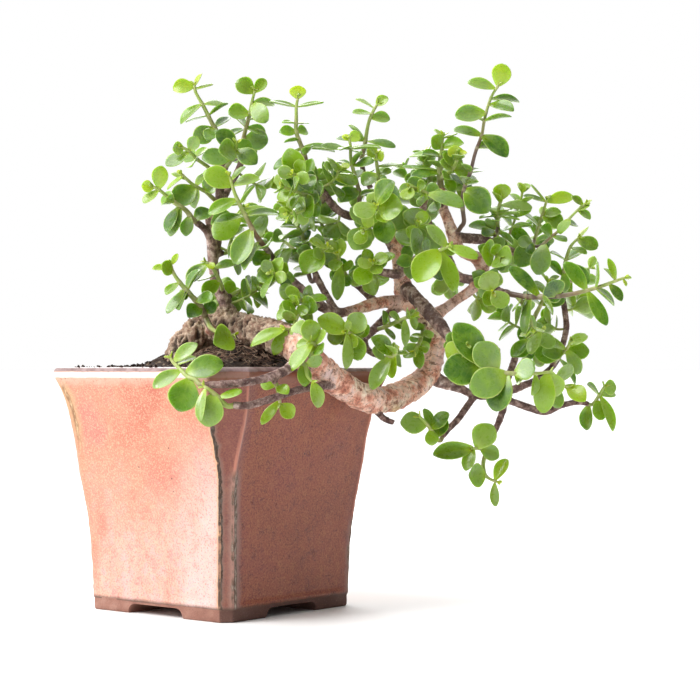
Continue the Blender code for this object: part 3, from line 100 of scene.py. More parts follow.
# %% The limbs' runs
LIMBS = {
    "trunk": [(-4, 173, -8, 9), (10, 174.5, -18, 9), (24, 172, -34, 9.5), (36, 168.5, -52, 9.8),
        (45, 164.5, -68, 9.7), (52.5, 157.5, -80, 9.4), (61, 149, -74, 9.1), (71, 141.5, -59, 8.6),
        (82, 134.5, -45, 8.4), (93, 129.8, -32, 8.5), (103, 129.8, -18, 8.4), (113, 133.4, -6, 8.4),
        (122, 138.6, 4, 8), (129, 146, 11, 7.5), (133, 156, 14, 7), (134.6, 167, 15, 6.6),
        (132.5, 175, 14, 6.8), (127, 182, 12, 7), (120, 188.5, 10, 7), (115, 196, 8, 6.4),
        (112.5, 208, 5, 4.9), (111, 218, 2.5, 4.4), (107.5, 228, 0, 4.2)],
    "high_left": [(109.5, 222, 2, 4), (100, 238, -4, 3.5), (90, 244, -10, 3.1), (79, 245, -16, 2.8),
        (71, 250, -20, 2.5), (65, 258, -22, 2.3), (59, 266, -22, 2.1), (55, 275, -20, 2)],
    "mid_up": [(107.5, 227, 0, 3.9), (104, 240, 12, 3.3), (99, 251, 22, 2.8), (94, 261, 26, 2.3)],
    "crown_up": [(111, 216, 4, 4), (117, 230, 22, 3.5), (124, 242, 34, 3), (127, 252, 38, 2.5)],
    "left_fork": [(119, 190.5, 9, 5), (104, 191, -2, 3.9), (96, 189.3, -8, 4.1), (89, 187.5, -14, 3.7),
        (81, 185.3, -22, 3.1), (72, 184, -30, 3.1), (62, 188.6, -36, 3.4), (52, 197, -38, 3),
        (42, 206, -40, 2.6)],
    "dark_fork": [(72, 184.5, -29, 2.7), (67, 193, -18, 2.3), (61, 204, -8, 2.2), (57, 213, -2, 2)],
    "back_fork": [(97, 190, -7, 3), (88, 198.5, 0, 2.1), (79, 206, 8, 1.9), (72, 216, 12, 1.8)],
    "cross": [(117, 191.5, 11, 4), (106, 184, 2, 2.8), (99, 177, -6, 2.7), (94, 172, -12, 2.7),
        (89.5, 167, -22, 2.5), (92, 160.5, -34, 2.1), (99, 156.8, -40, 1.9)],
    "arc": [(123, 218, 22, 3), (117, 212.5, 4, 3.2), (111, 208.5, -8, 3.3), (103, 209, -21, 2.6),
        (96, 211, -28, 2.3)],
    "smooth": [(116, 199, 4, 4.8), (122, 193, -7, 4.5), (129, 185.3, -14, 4.6), (136, 177.6, -19, 4.5),
        (141, 170.5, -26, 3.5), (146, 164, -34, 2.8)],
    "curl": [(129, 179, 13, 5), (139, 186, 19, 3.7), (148, 192.5, 22, 3.2), (156, 198, 22, 3.3),
        (162.5, 204, 20, 3.9), (163.5, 212, 16, 4.5), (159.5, 218.5, 12, 4.1), (152, 221.5, 10, 3.6),
        (147, 227, 10, 4), (145, 233, 10.5, 4), (142, 241.5, 12, 3.4), (138.5, 251, 14, 3.2),
        (137.5, 262, 14, 2.8)],
    "inner": [(160, 204, 22, 3.4), (148, 207, 32, 3.1), (143, 216, 40, 3), (139, 226, 48, 2.7),
        (133, 235, 56, 2.3)],
    "arm": [(146, 231, 11, 3.8), (156, 230.5, 20, 3.5), (165, 229.5, 28, 3.4), (173, 226, 36, 3),
        (181, 223, 44, 2.6), (190, 219, 52, 2.4)],
    "low": [(128, 145, 12, 6), (139, 140.3, 15, 4.2), (149, 136.8, 16, 3.1), (160, 132, 14, 2.4),
        (172, 132.5, 12, 2.5), (183, 136, 10, 2.6), (192, 139.5, 8, 2.4), (200, 142, 6, 2.2)],
    "low_far": [(172, 132, 13, 2.4), (183, 128, 22, 2.5), (193, 124.5, 28, 2.5), (203, 122, 34, 2.4),
        (213, 126, 40, 2.1), (223, 128, 44, 1.9), (230, 127, 46, 1.8)],
    "droop_a": [(159, 132.5, 14.5, 2.3), (153, 124, 8, 2.3), (148, 117, 2, 2.2), (142, 111, -4, 2),
        (138, 106, -8, 1.9)],
    "droop_b": [(178, 130.5, 17, 2.3), (176, 122, 12, 2.3), (173, 114, 8, 2.2), (168, 104, 6, 2.1)],
    "under": [(94, 127, -30, 2.8), (101, 118.5, -30, 2.1), (108, 115, -30, 1.9)],
    "front_a": [(49, 156, -84, 4), (42, 149, -99, 3.1), (35, 145.5, -106, 2.8), (24, 142, -113, 2.4),
        (12, 140, -118, 2.4), (-1, 139, -118, 2.3), (-10, 139, -114, 2)],
    "front_b": [(74, 139, -58, 3), (61, 138, -86, 2.4), (46, 135, -101, 2.3), (31, 130, -112, 2.3),
        (17, 126, -118, 2.3), (7, 126, -119, 2.1)],
    "left_stub": [(4, 178, -6, 6), (3, 189, -10, 4.3), (-3, 202, -12, 3.6), (-5, 214, -12, 3.4),
        (-6, 230, -12, 3.3), (-7, 245, -12, 3.6)],
    "left_high": [(-5, 216, -11, 3.1), (-2, 231, -4, 2.9), (-1, 246, 0, 2.9), (-1, 257, 2, 2.9),
        (0, 268, 2, 2.7), (2, 280, 2, 2.3)],
    "left_b": [(-1, 250, 0, 2.5), (4, 261, 10, 2.3), (10, 272, 16, 2.2), (14, 282, 18, 2)],
    "left_arm": [(-6, 229, -12, 2.6), (-10, 236, -16, 2.3), (-16, 241, -22, 2.1)],
    "right_rise": [(175, 133, 13, 2.4), (181, 147, 30, 2.4), (186, 161, 40, 2.3), (192, 173, 46, 2.2),
        (196, 181, 50, 2)],
    "right_far": [(183, 135.5, 11, 2.4), (197, 142, 34, 2.2), (208, 151, 50, 2.1), (213, 162, 58, 2.1),
        (216, 174, 62, 2.1), (215, 186, 64, 2), (213, 196, 64, 1.9)],
    "out": [(163, 207, 18, 3.6), (173, 198, -4, 2.6), (180, 196, -16, 2.3)],
    "root_left": [(-5, 171, -12, 4), (-8, 177, -27, 2.6)],
}

# Lumps of the old root base: (across, height, depth, half width, half height, half depth, turn)
ROOT_LUMPS = [
    (-29, 155, -6, 6, 12, 9, 10), (-24, 163, -4, 8, 12, 12, 25), (-15, 170, -4, 10, 12, 14, 20),
    (-3, 173, -2, 12, 11, 15, 0), (12, 171, 0, 13, 10, 13, -5), (4, 163, 12, 25, 15, 14, 0),
    (28, 167, -22, 13, 9, 17, -15), (3, 181, -8, 8, 8, 8, 0), (-14, 158, 8, 14, 14, 16, 0),
]
ROOT_FOOT = (2, 2, 128, 158, 17, 20)
print(len(LIMBS), "limbs,", len(ROOT_LUMPS), "root lumps")

# %% [markdown]
# ## The leafy sprays
# A spray is one leafy shoot with its side shoots. For each stem the table gives its route, how many
# crossed pairs of leaves follow the plant's own rule, their size and turn, and the leaves that are
# placed one by one: where the base and the tip show, how far the tip stands back, its width and tilt.

# %% The sprays' tables
SPRAYS = {
    "left_top_a": [
        ([(2, 281, 2), (0, 292, 0), (-6, 303, -2), (-11, 313, -3), (-16, 322, -4), (-17, 327, -4)], 1, 16, 10,
         [(-17, 327, -30, 326, -4, 12, 35), (-16, 326, -13, 335, 2, 5, 60),
          (-16, 323, -5, 328, 3, 6, 60), (-11, 312, -27, 305, -3, 9, 55),
          (-11, 312, 2, 317, 2, 8, 60), (-6, 303, 5, 307, 4, 9, 55), (-5, 300, -16, 292, -8, 13, 15),
          (0, 292, 13, 300, 2, 9, 65), (-2, 296, -8, 294, -6, 10, 40)]),
    ],
    "left_top_b": [
        ([(14, 283, 18), (14, 293, 18), (17, 305, 17), (19, 315, 16), (21, 323, 16)], 1, 15, 20,
         [(20, 321, 10, 330, -3, 13, 25), (21, 322, 28, 331, 2, 8, 10), (19, 313, 34, 315, 3, 10, 55),
          (19, 313, 28, 306, -3, 12, 15), (17, 306, 4, 309, -4, 14, 40), (16, 304, 6, 314, 4, 13, 60),
          (15, 302, 28, 298, -2, 10, 50), (15, 296, 29, 291, -2, 15, 15)]),
    ],
    "left_h": [
        ([(-2, 265, 0), (-8, 275, -6), (-15, 280, -10), (-20, 285, -13), (-25, 288, -15)], 1, 14, 60,
         [(-25, 288, -31, 287, -3, 9, 5), (-22, 286, -16, 294, -4, 9, 15),
          (-20, 284, -35, 276, -4, 11, 40), (-18, 283, -9, 288, 3, 9, 60)]),
    ],
    "left_g": [
        ([(-4, 254, -2), (-10, 260, -12), (-16, 263, -18), (-21, 267, -22), (-25, 271, -24)], 1, 15, 30,
         [(-25, 272, -35, 263, -2, 5, 60), (-21, 266, -31, 273, -2, 7, 40),
          (-16, 263, -30, 252, -8, 15, 10), (-11, 260, -5, 266, -3, 12, 10),
          (-16, 263, -10, 273, 5, 9, 55)]),
    ],
    "left_f": [
        ([(-18, 241, -22), (-22, 248, -26), (-28, 252, -30), (-34, 257, -32), (-39, 261, -34),
         (-43, 263, -35)], 1, 15, 80,
         [(-43, 263, -50, 263, -2, 8, 10), (-38, 261, -38, 275, -4, 11, 15),
          (-38, 260, -49, 252, -4, 9, 50), (-27, 251, -36, 236, -6, 10, 50),
          (-26, 250, -33, 233, -4, 11, 30), (-20, 246, -23, 233, -5, 9, 20),
          (-18, 242, -7, 250, 4, 13, 40)]),
    ],
    "left_in": [
        ([(3, 273, 4), (7, 281, -10), (9, 286, -20), (10, 291, -26)], 2, 17, 0,
         [(7, 281, -11, 282, -8, 15, 40), (9, 286, 0, 285, -14, 15, 10)]),
        ([(5, 278, -5), (9, 280, 18), (14, 283, 38), (18, 287, 52)], 3, 14, 40,
         []),
    ],
    "left_mid": [
        ([(0, 238, -4), (7, 242, -22), (12, 246, -32), (14, 250, -38)], 1, 19, 70,
         [(12, 246, -5, 232, -10, 17, 25), (14, 250, 32, 247, -6, 12, 55)]),
    ],
    "left_knee": [
        ([(-1, 218, -8), (5, 225, -2), (7, 232, 2), (10, 238, 4)], 3, 14, 20,
         []),
    ],
    "left_low_j": [
        ([(0, 194, -16), (0, 202, -22), (-3, 208, -26), (-6, 213, -28), (-10, 216, -29)], 1, 15, 10,
         [(-10, 216, -5, 212, -3, 6, 30), (-8, 214, -21, 203, -6, 11, 35),
          (-5, 212, 9, 216, 2, 9, 55), (-1, 204, -12, 196, -6, 11, 30)]),
    ],
    "left_low_r": [
        ([(5, 194, -6), (12, 198, 0), (18, 198, 4), (22, 196, 7)], 0, 13, 50,
         [(9, 198, 3, 203, -5, 10, 30), (18, 198, 21, 204, -4, 9, 20), (12, 198, 17, 185, -6, 9, 20),
          (20, 197, 23, 188, -2, 7, 40)]),
    ],
    "left_low_i": [
        ([(-8, 178, -29), (-13, 188, -36), (-20, 196, -40), (-26, 203, -43), (-30, 209, -45),
         (-32, 215, -45)], 1, 16, 20,
         [(-32, 215, -27, 221, -2, 4, 20), (-31, 212, -43, 212, -3, 6, 50),
          (-30, 209, -36, 214, -5, 10, 30), (-25, 201, -35, 196, -4, 8, 50),
          (-23, 200, -34, 184, -4, 8, 40), (-18, 194, -25, 193, -6, 10, 30),
          (-17, 193, -6, 194, -8, 11, 50), (-14, 189, -20, 183, -8, 11, 20),
          (-11, 184, -5, 190, -3, 10, 20)]),
        ([(-10, 182, -31), (-6, 174, -46), (2, 170, -55), (8, 170, -58)], 0, 20, 90,
         [(8, 171, -3, 166, -14, 18, 5)]),
    ],
    "long_e": [
        ([(45, 205, -40), (37, 212, -42), (29, 223, -46), (22, 232, -49), (15, 245, -52),
         (10, 255, -54), (7, 263, -55), (5, 270, -55)], 2, 17, 5,
         [(7, 264, -9, 273, -5, 15, 20), (7, 266, 14, 276, -2, 5, 50), (9, 262, 24, 270, 2, 10, 50),
          (10, 256, -8, 247, -5, 10, 35), (14, 248, 36, 249, 3, 10, 60),
          (15, 246, -5, 243, -4, 8, 60), (22, 233, 9, 214, -8, 14, 20),
          (25, 228, 13, 213, -10, 9, 50), (23, 230, 26, 246, 6, 12, 50),
          (31, 220, 21, 216, -8, 12, 30)]),
        ([(41, 209, -41), (36, 208, -52), (31, 209, -60)], 0, 17, 30,
         [(37, 208, 23, 207, -8, 13, 40), (34, 209, 24, 196, -6, 8, 55), (39, 208, 43, 197, -6, 9, 40)]),
    ],
    "e_front": [
        ([(63, 190, -40), (52, 192, -52), (47, 191, -60), (43, 188, -66)], 1, 17, 60,
         [(47, 191, 35, 181, -6, 9, 40), (49, 191, 37, 186, -12, 11, 60),
          (52, 192, 66, 194, -4, 9, 60)]),
        ([(53, 192, -51), (49, 184, -60), (44, 174, -69), (40, 174, -73)], 0, 15, 20,
         [(39, 174, 17, 167, -6, 10, 50), (40, 173, 32, 159, -6, 9, 20),
          (43, 172, 54, 173, -4, 14, 30), (42, 173, 41, 158, -3, 9, 30),
          (43, 182, 39, 191, -2, 8, 20), (45, 181, 53, 188, 0, 8, 20)]),
    ],
    "c_top": [
        ([(54, 276, -20), (51, 286, -20), (47, 297, -19), (47, 306, -18), (47, 313, -18),
         (48, 319, -18)], 0, 17, 0,
         [(48, 318, 48, 326, -3, 11, 5), (47, 312, 31, 318, -2, 6, 70), (47, 312, 65, 317, 2, 5, 75),
          (48, 303, 39, 304, -4, 5, 80), (48, 303, 55, 304, 2, 5, 80), (48, 298, 37, 298, -4, 9, 40),
          (49, 298, 54, 298, 3, 9, 40), (50, 288, 32, 276, -5, 8, 55), (51, 288, 71, 288, 4, 9, 65)]),
    ],
    "c_side": [
        ([(58, 268, -24), (52, 270, -38), (47, 270, -48), (44, 271, -54)], 1, 20, 20,
         [(52, 270, 41, 263, -6, 17, 15), (49, 270, 56, 262, -10, 13, 20)]),
    ],
    "c_low": [
        ([(66, 256, -24), (59, 257, -36), (52, 258, -44), (44, 261, -50), (38, 263, -53)], 4, 16, 35,
         []),
        ([(61, 256, -34), (56, 251, -44), (49, 247, -50), (42, 246, -54)], 2, 14, 15,
         []),
    ],
    "c_back": [
        ([(67, 257, -16), (61, 252, 6), (54, 250, 20), (47, 250, 30), (39, 251, 36)], 4, 15, 40,
         []),
    ],
    "fork_up": [
        ([(57, 214, -2), (53, 226, -4), (49, 236, -6), (44, 243, -8), (41, 251, -9)], 4, 16, 25,
         []),
        ([(54, 222, -3), (58, 222, -22), (62, 222, -34), (67, 225, -42)], 0, 18, 50,
         [(63, 223, 52, 211, -8, 17, 20), (66, 225, 56, 230, -6, 10, 60)]),
    ],
    "fork_left": [
        ([(62, 202, -8), (52, 216, 6), (44, 225, 14), (37, 230, 20), (29, 233, 24)], 4, 16, 10,
         []),
    ],
    "back_tip": [
        ([(71, 217, 12), (67, 227, 10), (64, 236, 9), (61, 245, 8), (58, 252, 8)], 3, 17, 55,
         []),
    ],
    "knee_front": [
        ([(81, 204, 6), (77, 209, -16), (74, 216, -28), (73, 221, -36)], 0, 20, 15,
         [(75, 214, 61, 226, -10, 19, 10), (74, 215, 73, 193, -4, 9, 10),
          (76, 212, 69, 206, -6, 8, 50)]),
    ],
    "d_top": [
        ([(94, 262, 26), (89, 272, 24), (88, 281, 22), (90, 290, 20), (92, 302, 18), (95, 310, 17),
         (98, 315, 16)], 1, 16, 0,
         [(97, 314, 104, 320, -2, 8, 25), (96, 312, 86, 320, 2, 5, 60), (94, 308, 83, 310, -3, 7, 60),
          (93, 306, 106, 306, 2, 9, 30), (90, 293, 72, 296, 4, 11, 60), (91, 292, 109, 291, -2, 9, 55)]),
    ],
    "d_mid": [
        ([(90, 245, -12), (86, 261, -14), (83, 272, -16), (81, 281, -18), (81, 288, -18),
         (80, 293, -18)], 0, 16, 15,
         [(80, 292, 76, 296, 1, 5, 30), (81, 292, 86, 297, -2, 8, 15), (81, 287, 62, 291, -3, 8, 60),
          (81, 286, 99, 291, 2, 5, 70), (82, 277, 94, 281, -8, 10, 60),
          (84, 271, 70, 268, -6, 14, 30), (86, 261, 75, 256, -10, 12, 30)]),
    ],
    "d_small": [
        ([(101, 247, 20), (99, 261, 6), (98, 272, 0), (97, 280, -3), (97, 284, -4)], 1, 15, 30,
         [(97, 283, 92, 287, -3, 9, 15), (97, 281, 102, 283, -4, 8, 30),
          (99, 277, 114, 278, 3, 6, 65), (99, 271, 88, 266, -4, 12, 40),
          (99, 271, 106, 273, -4, 8, 55)]),
    ],
    "d_front": [
        ([(101, 237, -4), (101, 243, -26), (99, 248, -42), (97, 252, -50)], 1, 22, 40,
         [(98, 250, 112, 251, -12, 18, 15), (99, 252, 108, 266, -2, 17, 30),
          (97, 251, 83, 246, -8, 14, 35)]),
    ],
    "d_low": [
        ([(96, 241, -8), (93, 238, -26), (91, 237, -40), (89, 236, -46)], 0, 20, 80,
         [(91, 238, 82, 226, -10, 17, 20), (92, 238, 81, 251, 0, 14, 40)]),
    ],
    "l_top": [
        ([(138, 263, 14), (137, 270, 13), (137, 277, 12), (138, 285, 11), (138, 290, 10),
         (139, 295, 10)], 1, 17, 0,
         [(139, 293, 134, 300, 2, 4, 50), (139, 293, 148, 297, 2, 3, 70),
          (138, 287, 133, 293, -6, 12, 30), (138, 287, 151, 291, -2, 11, 45),
          (138, 282, 118, 285, 3, 7, 60), (138, 281, 127, 284, -8, 8, 60),
          (137, 275, 114, 278, 2, 6, 65), (138, 276, 151, 280, -2, 12, 50),
          (137, 271, 159, 265, -6, 9, 60), (137, 270, 119, 270, -6, 10, 50)]),
        ([(138, 268, 13), (143, 272, 4), (147, 278, -2), (148, 284, -3)], 1, 13, 50,
         [(148, 283, 143, 287, -2, 9, 15), (148, 284, 151, 287, 2, 9, 15)]),
    ],
    "l_left": [
        ([(127, 253, 38), (128, 261, 34), (131, 268, 30), (129, 276, 28), (127, 283, 28)], 4, 17, 30,
         []),
    ],
    "l_side": [
        ([(139, 251, 12), (131, 257, -8), (124, 261, -18), (118, 263, -24)], 1, 17, 70,
         [(124, 261, 111, 261, -6, 10, 50), (129, 258, 152, 253, -8, 13, 45),
          (119, 262, 114, 255, -4, 10, 30)]),
    ],
    "k_top": [
        ([(149, 234, 8), (152, 241, 2), (151, 251, -2), (152, 261, -4), (156, 272, -6),
         (159, 284, -8), (163, 295, -9), (165, 306, -10), (169, 319, -12), (174, 327, -13)], 2, 18, 0,
         [(174, 327, 178, 340, -4, 13, 5), (172, 323, 155, 330, -2, 10, 45),
          (169, 319, 188, 319, 3, 8, 55), (168, 313, 183, 313, -6, 11, 40),
          (166, 308, 147, 307, -5, 13, 30), (163, 295, 146, 300, -3, 10, 50),
          (161, 292, 179, 284, -8, 14, 35), (161, 290, 176, 289, 5, 12, 55),
          (153, 261, 168, 249, -8, 18, 8)]),
    ],
    "crown_a": [
        ([(114, 225, 12), (119, 235, -12), (122, 238, -24), (123, 241, -32)], 1, 22, 30,
         [(121, 237, 123, 249, -6, 19, 10), (123, 236, 113, 228, -10, 17, 30)]),
    ],
    "crown_b": [
        ([(113, 213, 0), (118, 216, -20), (122, 218, -32), (131, 221, -40), (137, 223, -46),
         (143, 226, -50)], 1, 21, 35,
         [(143, 226, 129, 238, -4, 10, 35), (143, 226, 162, 221, -4, 10, 40),
          (136, 223, 121, 206, -12, 18, 15), (136, 222, 148, 198, -8, 12, 30)]),
    ],
    "crown_back": [
        ([(128, 238, 34), (127, 248, 56), (122, 258, 66), (117, 267, 70), (114, 275, 72)], 4, 16, 10,
         []),
    ],
    "inner_tip": [
        ([(133, 236, 56), (129, 246, 64), (131, 256, 70), (134, 266, 74), (139, 276, 76)], 4, 16, 40,
         []),
    ],
    "m_top": [
        ([(174, 227, 34), (173, 236, 28), (173, 243, 24), (174, 251, 22), (176, 256, 21)], 1, 16, 5,
         [(175, 256, 176, 265, -3, 12, 5), (174, 250, 195, 253, 3, 9, 40),
          (173, 246, 162, 246, -4, 5, 75), (173, 245, 187, 244, 4, 5, 75),
          (173, 236, 156, 241, -4, 10, 55), (173, 236, 183, 228, -4, 8, 60)]),
        ([(173, 231, 31), (170, 226, 12), (171, 221, -6), (175, 218, -16)], 0, 18, 25,
         [(170, 221, 164, 222, -8, 18, 5), (172, 219, 180, 216, -12, 17, 10)]),
    ],
    "n_top": [
        ([(190, 221, 52), (192, 230, 48), (196, 238, 44), (200, 248, 40), (204, 255, 38)], 1, 17, 10,
         [(204, 254, 221, 259, 2, 10, 25), (203, 255, 190, 259, -3, 6, 60),
          (204, 255, 194, 265, 3, 3, 60), (201, 248, 214, 240, -5, 13, 30),
          (201, 249, 212, 249, 4, 9, 55), (193, 232, 186, 216, -8, 15, 15),
          (192, 230, 181, 237, -6, 12, 40)]),
        ([(191, 228, 47), (195, 226, 32), (200, 226, 24), (206, 231, 20), (212, 236, 18),
         (218, 243, 16), (224, 249, 15), (228, 252, 14)], 2, 12, 45,
         [(228, 252, 232, 255, 1, 3, 50), (226, 251, 220, 257, -2, 6, 40),
          (225, 250, 231, 251, -2, 7, 55), (221, 247, 232, 243, -2, 7, 45),
          (219, 244, 212, 235, -6, 10, 50), (207, 231, 200, 237, -4, 12, 50),
          (203, 227, 198, 209, -8, 14, 10), (208, 230, 216, 230, -6, 8, 60)]),
    ],
    "o_top": [
        ([(213, 197, 64), (214, 207, 58), (216, 218, 54), (219, 226, 50), (224, 231, 48)], 1, 16, 20,
         [(223, 230, 236, 225, -3, 11, 25), (223, 230, 229, 239, 2, 6, 55),
          (219, 225, 229, 223, -5, 7, 55), (215, 216, 231, 203, -8, 13, 30),
          (214, 209, 205, 216, -6, 9, 50), (215, 212, 216, 198, -4, 8, 30)]),
        ([(214, 203, 60), (221, 204, 80), (227, 208, 90), (231, 213, 94)], 3, 15, 60,
         []),
    ],
    "p_long": [
        ([(181, 195, -18), (191, 194, -24), (203, 194, -30), (216, 195, -34), (229, 198, -38),
         (239, 201, -40), (247, 204, -42), (253, 206, -42)], 2, 18, 30,
         [(253, 206, 257, 206, 0, 4, 60), (251, 205, 254, 201, -2, 4, 60),
          (247, 204, 243, 218, -2, 5, 20), (245, 203, 241, 213, -1, 4, 60),
          (241, 201, 252, 193, -3, 8, 40), (230, 198, 216, 216, -6, 11, 30),
          (230, 198, 241, 176, -4, 10, 30), (212, 194, 206, 203, -6, 16, 0),
          (197, 194, 182, 214, -6, 11, 35), (196, 194, 188, 173, -6, 8, 40)]),
        ([(186, 194, -21), (190, 188, -24), (193, 181, -26), (195, 174, -27)], 1, 15, 0,
         []),
    ],
    "curl_front": [
        ([(164, 208, 14), (167, 203, -8), (169, 199, -20), (170, 197, -26)], 0, 21, 0,
         [(170, 197, 166, 209, -6, 15, 10), (171, 196, 178, 188, -6, 13, 20)]),
    ],
    "smooth_tip": [
        ([(144, 164, -38), (152, 158, -46), (159, 153, -53), (166, 150, -58), (173, 147, -62),
         (181, 146, -64), (189, 146, -64), (198, 146, -62), (206, 147, -60)], 2, 19, 75,
         [(166, 150, 149, 177, -6, 19, 15), (166, 150, 141, 147, -6, 21, 10),
          (173, 147, 161, 165, -4, 18, 10), (178, 146, 157, 137, -8, 20, 10),
          (178, 146, 169, 124, -4, 18, 25), (181, 146, 195, 151, -6, 15, 30),
          (189, 146, 184, 141, 4, 13, 50), (198, 146, 196, 133, -2, 7, 40),
          (205, 147, 201, 122, -4, 14, 10), (206, 147, 213, 132, 4, 12, 20)]),
        ([(148, 162, -41), (151, 163, -52), (154, 164, -60)], 0, 20, 60,
         [(153, 164, 141, 156, -6, 14, 30)]),
    ],
    "rise_tip": [
        ([(197, 182, 50), (200, 189, 48), (203, 197, 44), (205, 204, 42)], 3, 16, 30,
         []),
    ],
    "rise_side": [
        ([(187, 163, 40), (192, 167, 22), (197, 171, 12), (201, 173, 4)], 2, 17, 0,
         [(192, 167, 182, 157, -6, 9, 20), (200, 173, 193, 159, -6, 10, 40)]),
    ],
    "far_tip": [
        ([(210, 153, 50), (212, 157, 34), (216, 161, 24), (219, 166, 18)], 1, 17, 45,
         [(212, 156, 197, 159, -6, 13, 20), (212, 156, 225, 142, -2, 7, 55),
          (216, 161, 225, 146, -3, 10, 20), (218, 164, 228, 173, 2, 11, 40),
          (216, 161, 201, 168, -4, 10, 50)]),
    ],
    "low_tip": [
        ([(200, 142, 6), (206, 142, 0), (212, 139, -6), (218, 137, -10)], 1, 17, 20,
         [(213, 139, 225, 134, -4, 9, 50), (220, 136, 228, 131, -2, 12, 40)]),
    ],
    "low_far_tip": [
        ([(230, 127, 46), (235, 129, 44), (238, 133, 42), (240, 138, 40)], 1, 15, 10,
         [(231, 128, 228, 111, -4, 11, 15), (225, 128, 212, 117, -8, 14, 10),
          (240, 137, 247, 138, -3, 11, 15), (237, 130, 238, 117, -6, 10, 15),
          (238, 132, 248, 112, -2, 9, 25)]),
    ],
    "droop_a_tip": [
        ([(138, 106, -8), (134, 111, -18), (129, 114, -24), (124, 119, -28)], 1, 17, 35,
         [(134, 111, 129, 124, -6, 9, 50), (131, 114, 114, 116, -8, 15, 20),
          (133, 112, 133, 102, -4, 10, 30), (136, 109, 139, 120, -2, 13, 20),
          (138, 106, 153, 114, 0, 9, 40)]),
    ],
    "droop_b_tip": [
        ([(168, 103, 6), (166, 97, 4), (164, 90, 3), (165, 83, 0), (168, 80, -2), (173, 78, -3)], 0, 16, 30,
         [(166, 82, 156, 83, -8, 16, 5), (172, 79, 179, 93, 2, 9, 20), (173, 78, 171, 62, 0, 7, 30)]),
        ([(166, 99, 5), (162, 99, 0), (157, 99, -3)], 0, 16, 30,
         [(159, 99, 168, 114, -4, 17, 15), (158, 99, 133, 95, -6, 13, 20),
          (162, 100, 174, 94, -2, 11, 15), (158, 99, 152, 86, -4, 9, 20)]),
    ],
    "pale_front": [
        ([(61, 159, -84), (58, 163, -92), (56, 166, -97)], 0, 15, 20,
         [(56, 164, 42, 151, -6, 11, 40), (56, 166, 55, 179, -6, 13, 20),
          (57, 164, 59, 154, -4, 12, 30)]),
    ],
    "front_a_tip": [
        ([(-10, 139, -114), (-16, 142, -110), (-21, 144, -106), (-26, 149, -102), (-30, 153, -99),
         (-32, 156, -98)], 0, 13, 30,
         [(-30, 153, -17, 166, -3, 9, 30), (-26, 149, -43, 139, -6, 10, 30),
          (-27, 150, -16, 158, 3, 8, 60), (-23, 146, -1, 155, -6, 15, 25),
          (-20, 143, -27, 123, -6, 19, 10)]),
    ],
    "front_b_tip": [
        ([(7, 127, -119), (2, 129, -119), (-3, 132, -118), (-8, 136, -117), (-11, 138, -116)], 0, 13, 30,
         [(-6, 134, -9, 113, -4, 17, 10), (-10, 137, -15, 117, -2, 8, 30),
          (-3, 132, 12, 136, -2, 8, 50)]),
    ],
    "front_mid": [
        ([(34, 144, -108), (34, 140, -105), (34, 136, -102), (36, 131, -102), (37, 127, -103)], 0, 10, 0,
         [(34, 137, 25, 140, -3, 9, 20), (34, 138, 41, 135, -2, 8, 20), (36, 129, 25, 115, -4, 7, 20),
          (37, 128, 45, 120, -2, 10, 10)]),
    ],
    "trunk_drop": [
        ([(50, 156, -92), (51, 151, -98), (54, 144, -100), (57, 141, -101)], 0, 12, 0,
         [(51, 153, 53, 139, -3, 9, 15), (56, 141, 62, 126, -3, 9, 20)]),
    ],
    "cross_tip": [
        ([(99, 157, -40), (104, 156, -44), (109, 158, -46), (110, 161, -46)], 0, 13, 0,
         [(107, 158, 94, 168, -8, 12, 35), (108, 156, 94, 138, -6, 11, 20),
          (109, 156, 106, 143, 2, 8, 30)]),
    ],
    "cross_mid": [
        ([(97, 173, -14), (103, 175, -20), (109, 178, -24), (116, 181, -27), (121, 183, -28)], 1, 11, 30,
         [(113, 179, 106, 184, -4, 7, 50), (118, 181, 124, 184, -2, 7, 60),
          (114, 179, 116, 164, -4, 6, 20), (119, 181, 123, 174, 2, 7, 40)]),
    ],
    "cross_front": [
        ([(89, 167, -26), (84, 169, -40), (81, 171, -50), (78, 172, -57)], 0, 14, 0,
         [(80, 171, 61, 181, -6, 14, 20), (80, 171, 66, 169, -4, 13, 5),
          (81, 171, 88, 183, -3, 14, 10), (81, 170, 86, 154, -6, 13, 5),
          (78, 171, 81, 147, 8, 10, 40), (79, 171, 79, 179, -1, 5, 20)]),
    ],
    "arc_tip": [
        ([(96, 211, -30), (96, 213, -36), (95, 216, -40)], 0, 12, 0,
         [(95, 213, 85, 203, -8, 13, 10), (96, 213, 109, 221, -5, 9, 50),
          (97, 212, 94, 218, -4, 9, 30)]),
    ],
    "small_dark": [
        ([(128, 172, 0), (125, 168, -8), (123, 163, -12), (121, 160, -14)], 0, 10, 0,
         [(123, 163, 114, 157, -4, 10, 15), (123, 163, 123, 149, -2, 8, 20),
          (123, 164, 113, 160, 3, 5, 50), (124, 165, 129, 159, 1, 7, 30)]),
    ],
}
print(len(SPRAYS), "sprays,", sum(len(row[4]) for rows in SPRAYS.values() for row in rows),
      "leaves placed one by one")

# %% [markdown]
# ## Smooth runs
# A stem grows in a smooth line, so a Catmull-Rom curve is drawn through the given points. The solid
# model keeps only the points that matter for its shape, and the same thinning is done here, because
# the leaves' places depend on it.

# %% Curves through points
LIMB_STEP = 6
LIMB_SAG = 1.5
STEM_STEP = 5
STEM_SAG = 0.8
TIP_RADIUS = 0.9


